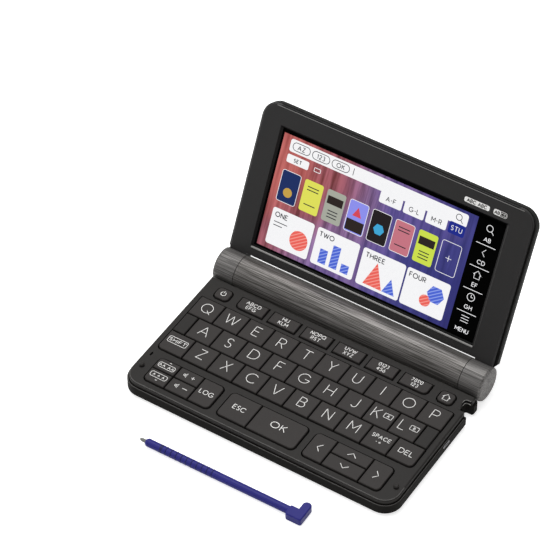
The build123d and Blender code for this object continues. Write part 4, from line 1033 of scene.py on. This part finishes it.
# %% Grip ridges on the battery cover
ridge_tree, given, RIDGE_INPUTS = start_tree(
    "grip_ridges", "Base", Ridge_count="Int", Arc_radius="Float", Start_angle="Float", Sweep_angle="Float",
    Ridge_radius="Float", Ridge_length="Float", Finish="Material")
bow_line = add(ridge_tree, "GeometryNodeCurveArc", {"mode": "RADIUS"}, Resolution=64,
               Radius=given["Arc radius"], Start_Angle=given["Start angle"],
               Sweep_Angle=given["Sweep angle"])
points = add(ridge_tree, "GeometryNodeCurveToPoints", {"mode": "COUNT"}, Curve=bow_line.outputs["Curve"],
             Count=given["Ridge count"])
rod = add(ridge_tree, "GeometryNodeMeshCylinder", Vertices=12, Radius=given["Ridge radius"],
          Depth=given["Ridge length"])
ridge_rods = repeat(ridge_tree, points.outputs["Points"], rod.outputs["Mesh"])
end_tree(ridge_tree, ridge_rods, given["Finish"])

RIDGE_VALUES = (9, 8.62, radians(-66), radians(52), 0.3, 14.0, barrel_metal)
for name, x in (("cover_ridges_left", -34.0), ("cover_ridges_right", 34.0)):
    ridges = run_tree(name, bpy.data.meshes.new(name), ridge_tree, RIDGE_INPUTS, RIDGE_VALUES)
    keep_mesh(name, ridges, across_x(x, HINGE_Y, HINGE_Z), "battery_cover", barrel_metal)
print("ridge groups:", 2)

# %% [markdown]
# ## Floor, lights and background
# The object stands on a plain white table in soft studio light, and the background is pure white. A
# floor that reflects 80 % of the light renders light grey, so for rays from the camera, from glossy
# surfaces and through glass, a little emission is added to it. That lifts the open floor to white and
# keeps the object's shadow, and it throws no more light on the object.

# %% Floor and background
HALF, FLOOR_Z = 4, -0.0005
corners = [(x, y, FLOOR_Z) for x, y in ((-HALF, -HALF), (HALF, -HALF), (HALF, HALF), (-HALF, HALF))]
floor_mesh = bpy.data.meshes.new("floor")
floor_mesh.from_pydata(corners, [], [(0, 1, 2, 3)])
floor = new_object("floor", floor_mesh)
paper, tree, shader = new_material("floor_white_paper", "#e6e6e6", 0.9)
path = add(tree, "ShaderNodeLightPath").outputs
seen = path["Is Camera Ray"]
for other in ("Is Glossy Ray", "Is Transmission Ray"):
    seen = add(tree, "ShaderNodeMath", {"operation": "MAXIMUM"}, in0=seen, in1=path[other]).outputs[0]
lift = add(tree, "ShaderNodeEmission", Strength=0.68)
both = add(tree, "ShaderNodeAddShader", in0=shader.outputs["BSDF"], in1=lift.outputs["Emission"])
choice = add(tree, "ShaderNodeMixShader", in0=seen, in1=shader.outputs["BSDF"], in2=both.outputs["Shader"])
tree.links.new(choice.outputs["Shader"], tree.nodes["Material Output"].inputs["Surface"])
floor_mesh.materials.append(paper)

world = bpy.data.worlds.new("studio")
bpy.context.scene.world = world
world.use_nodes = True
background = world.node_tree.nodes["Background"].inputs
background["Color"].default_value = (1, 1, 1, 1)
background["Strength"].default_value = 0.35
print("floor and world:", paper.name, world.name)

# %% Soft boxes
def soft_box(name, place, aim, size, power):
    lamp = bpy.data.lights.new(name, "AREA")
    lamp.shape = "RECTANGLE"
    lamp.size, lamp.size_y = size
    lamp.energy = power
    box = new_object(name, lamp)
    box.location = place
    box.rotation_euler = (Vector(aim) - Vector(place)).to_track_quat("-Z", "Y").to_euler()


soft_box("soft_box_above", (-0.32, 0.26, 1.3), (0, 0.02, 0), (1.0, 0.9), 15.2)
soft_box("soft_box_front_left", (-1.0, -0.9, 0.9), (0, 0, 0.03), (0.9, 0.9), 4.8)
soft_box("soft_box_right", (1.2, -0.1, 0.8), (0, 0, 0.03), (0.8, 0.8), 0.4)
bpy.context.scene.view_settings.view_transform = "Standard"
print("lamps:", len(bpy.data.lights))
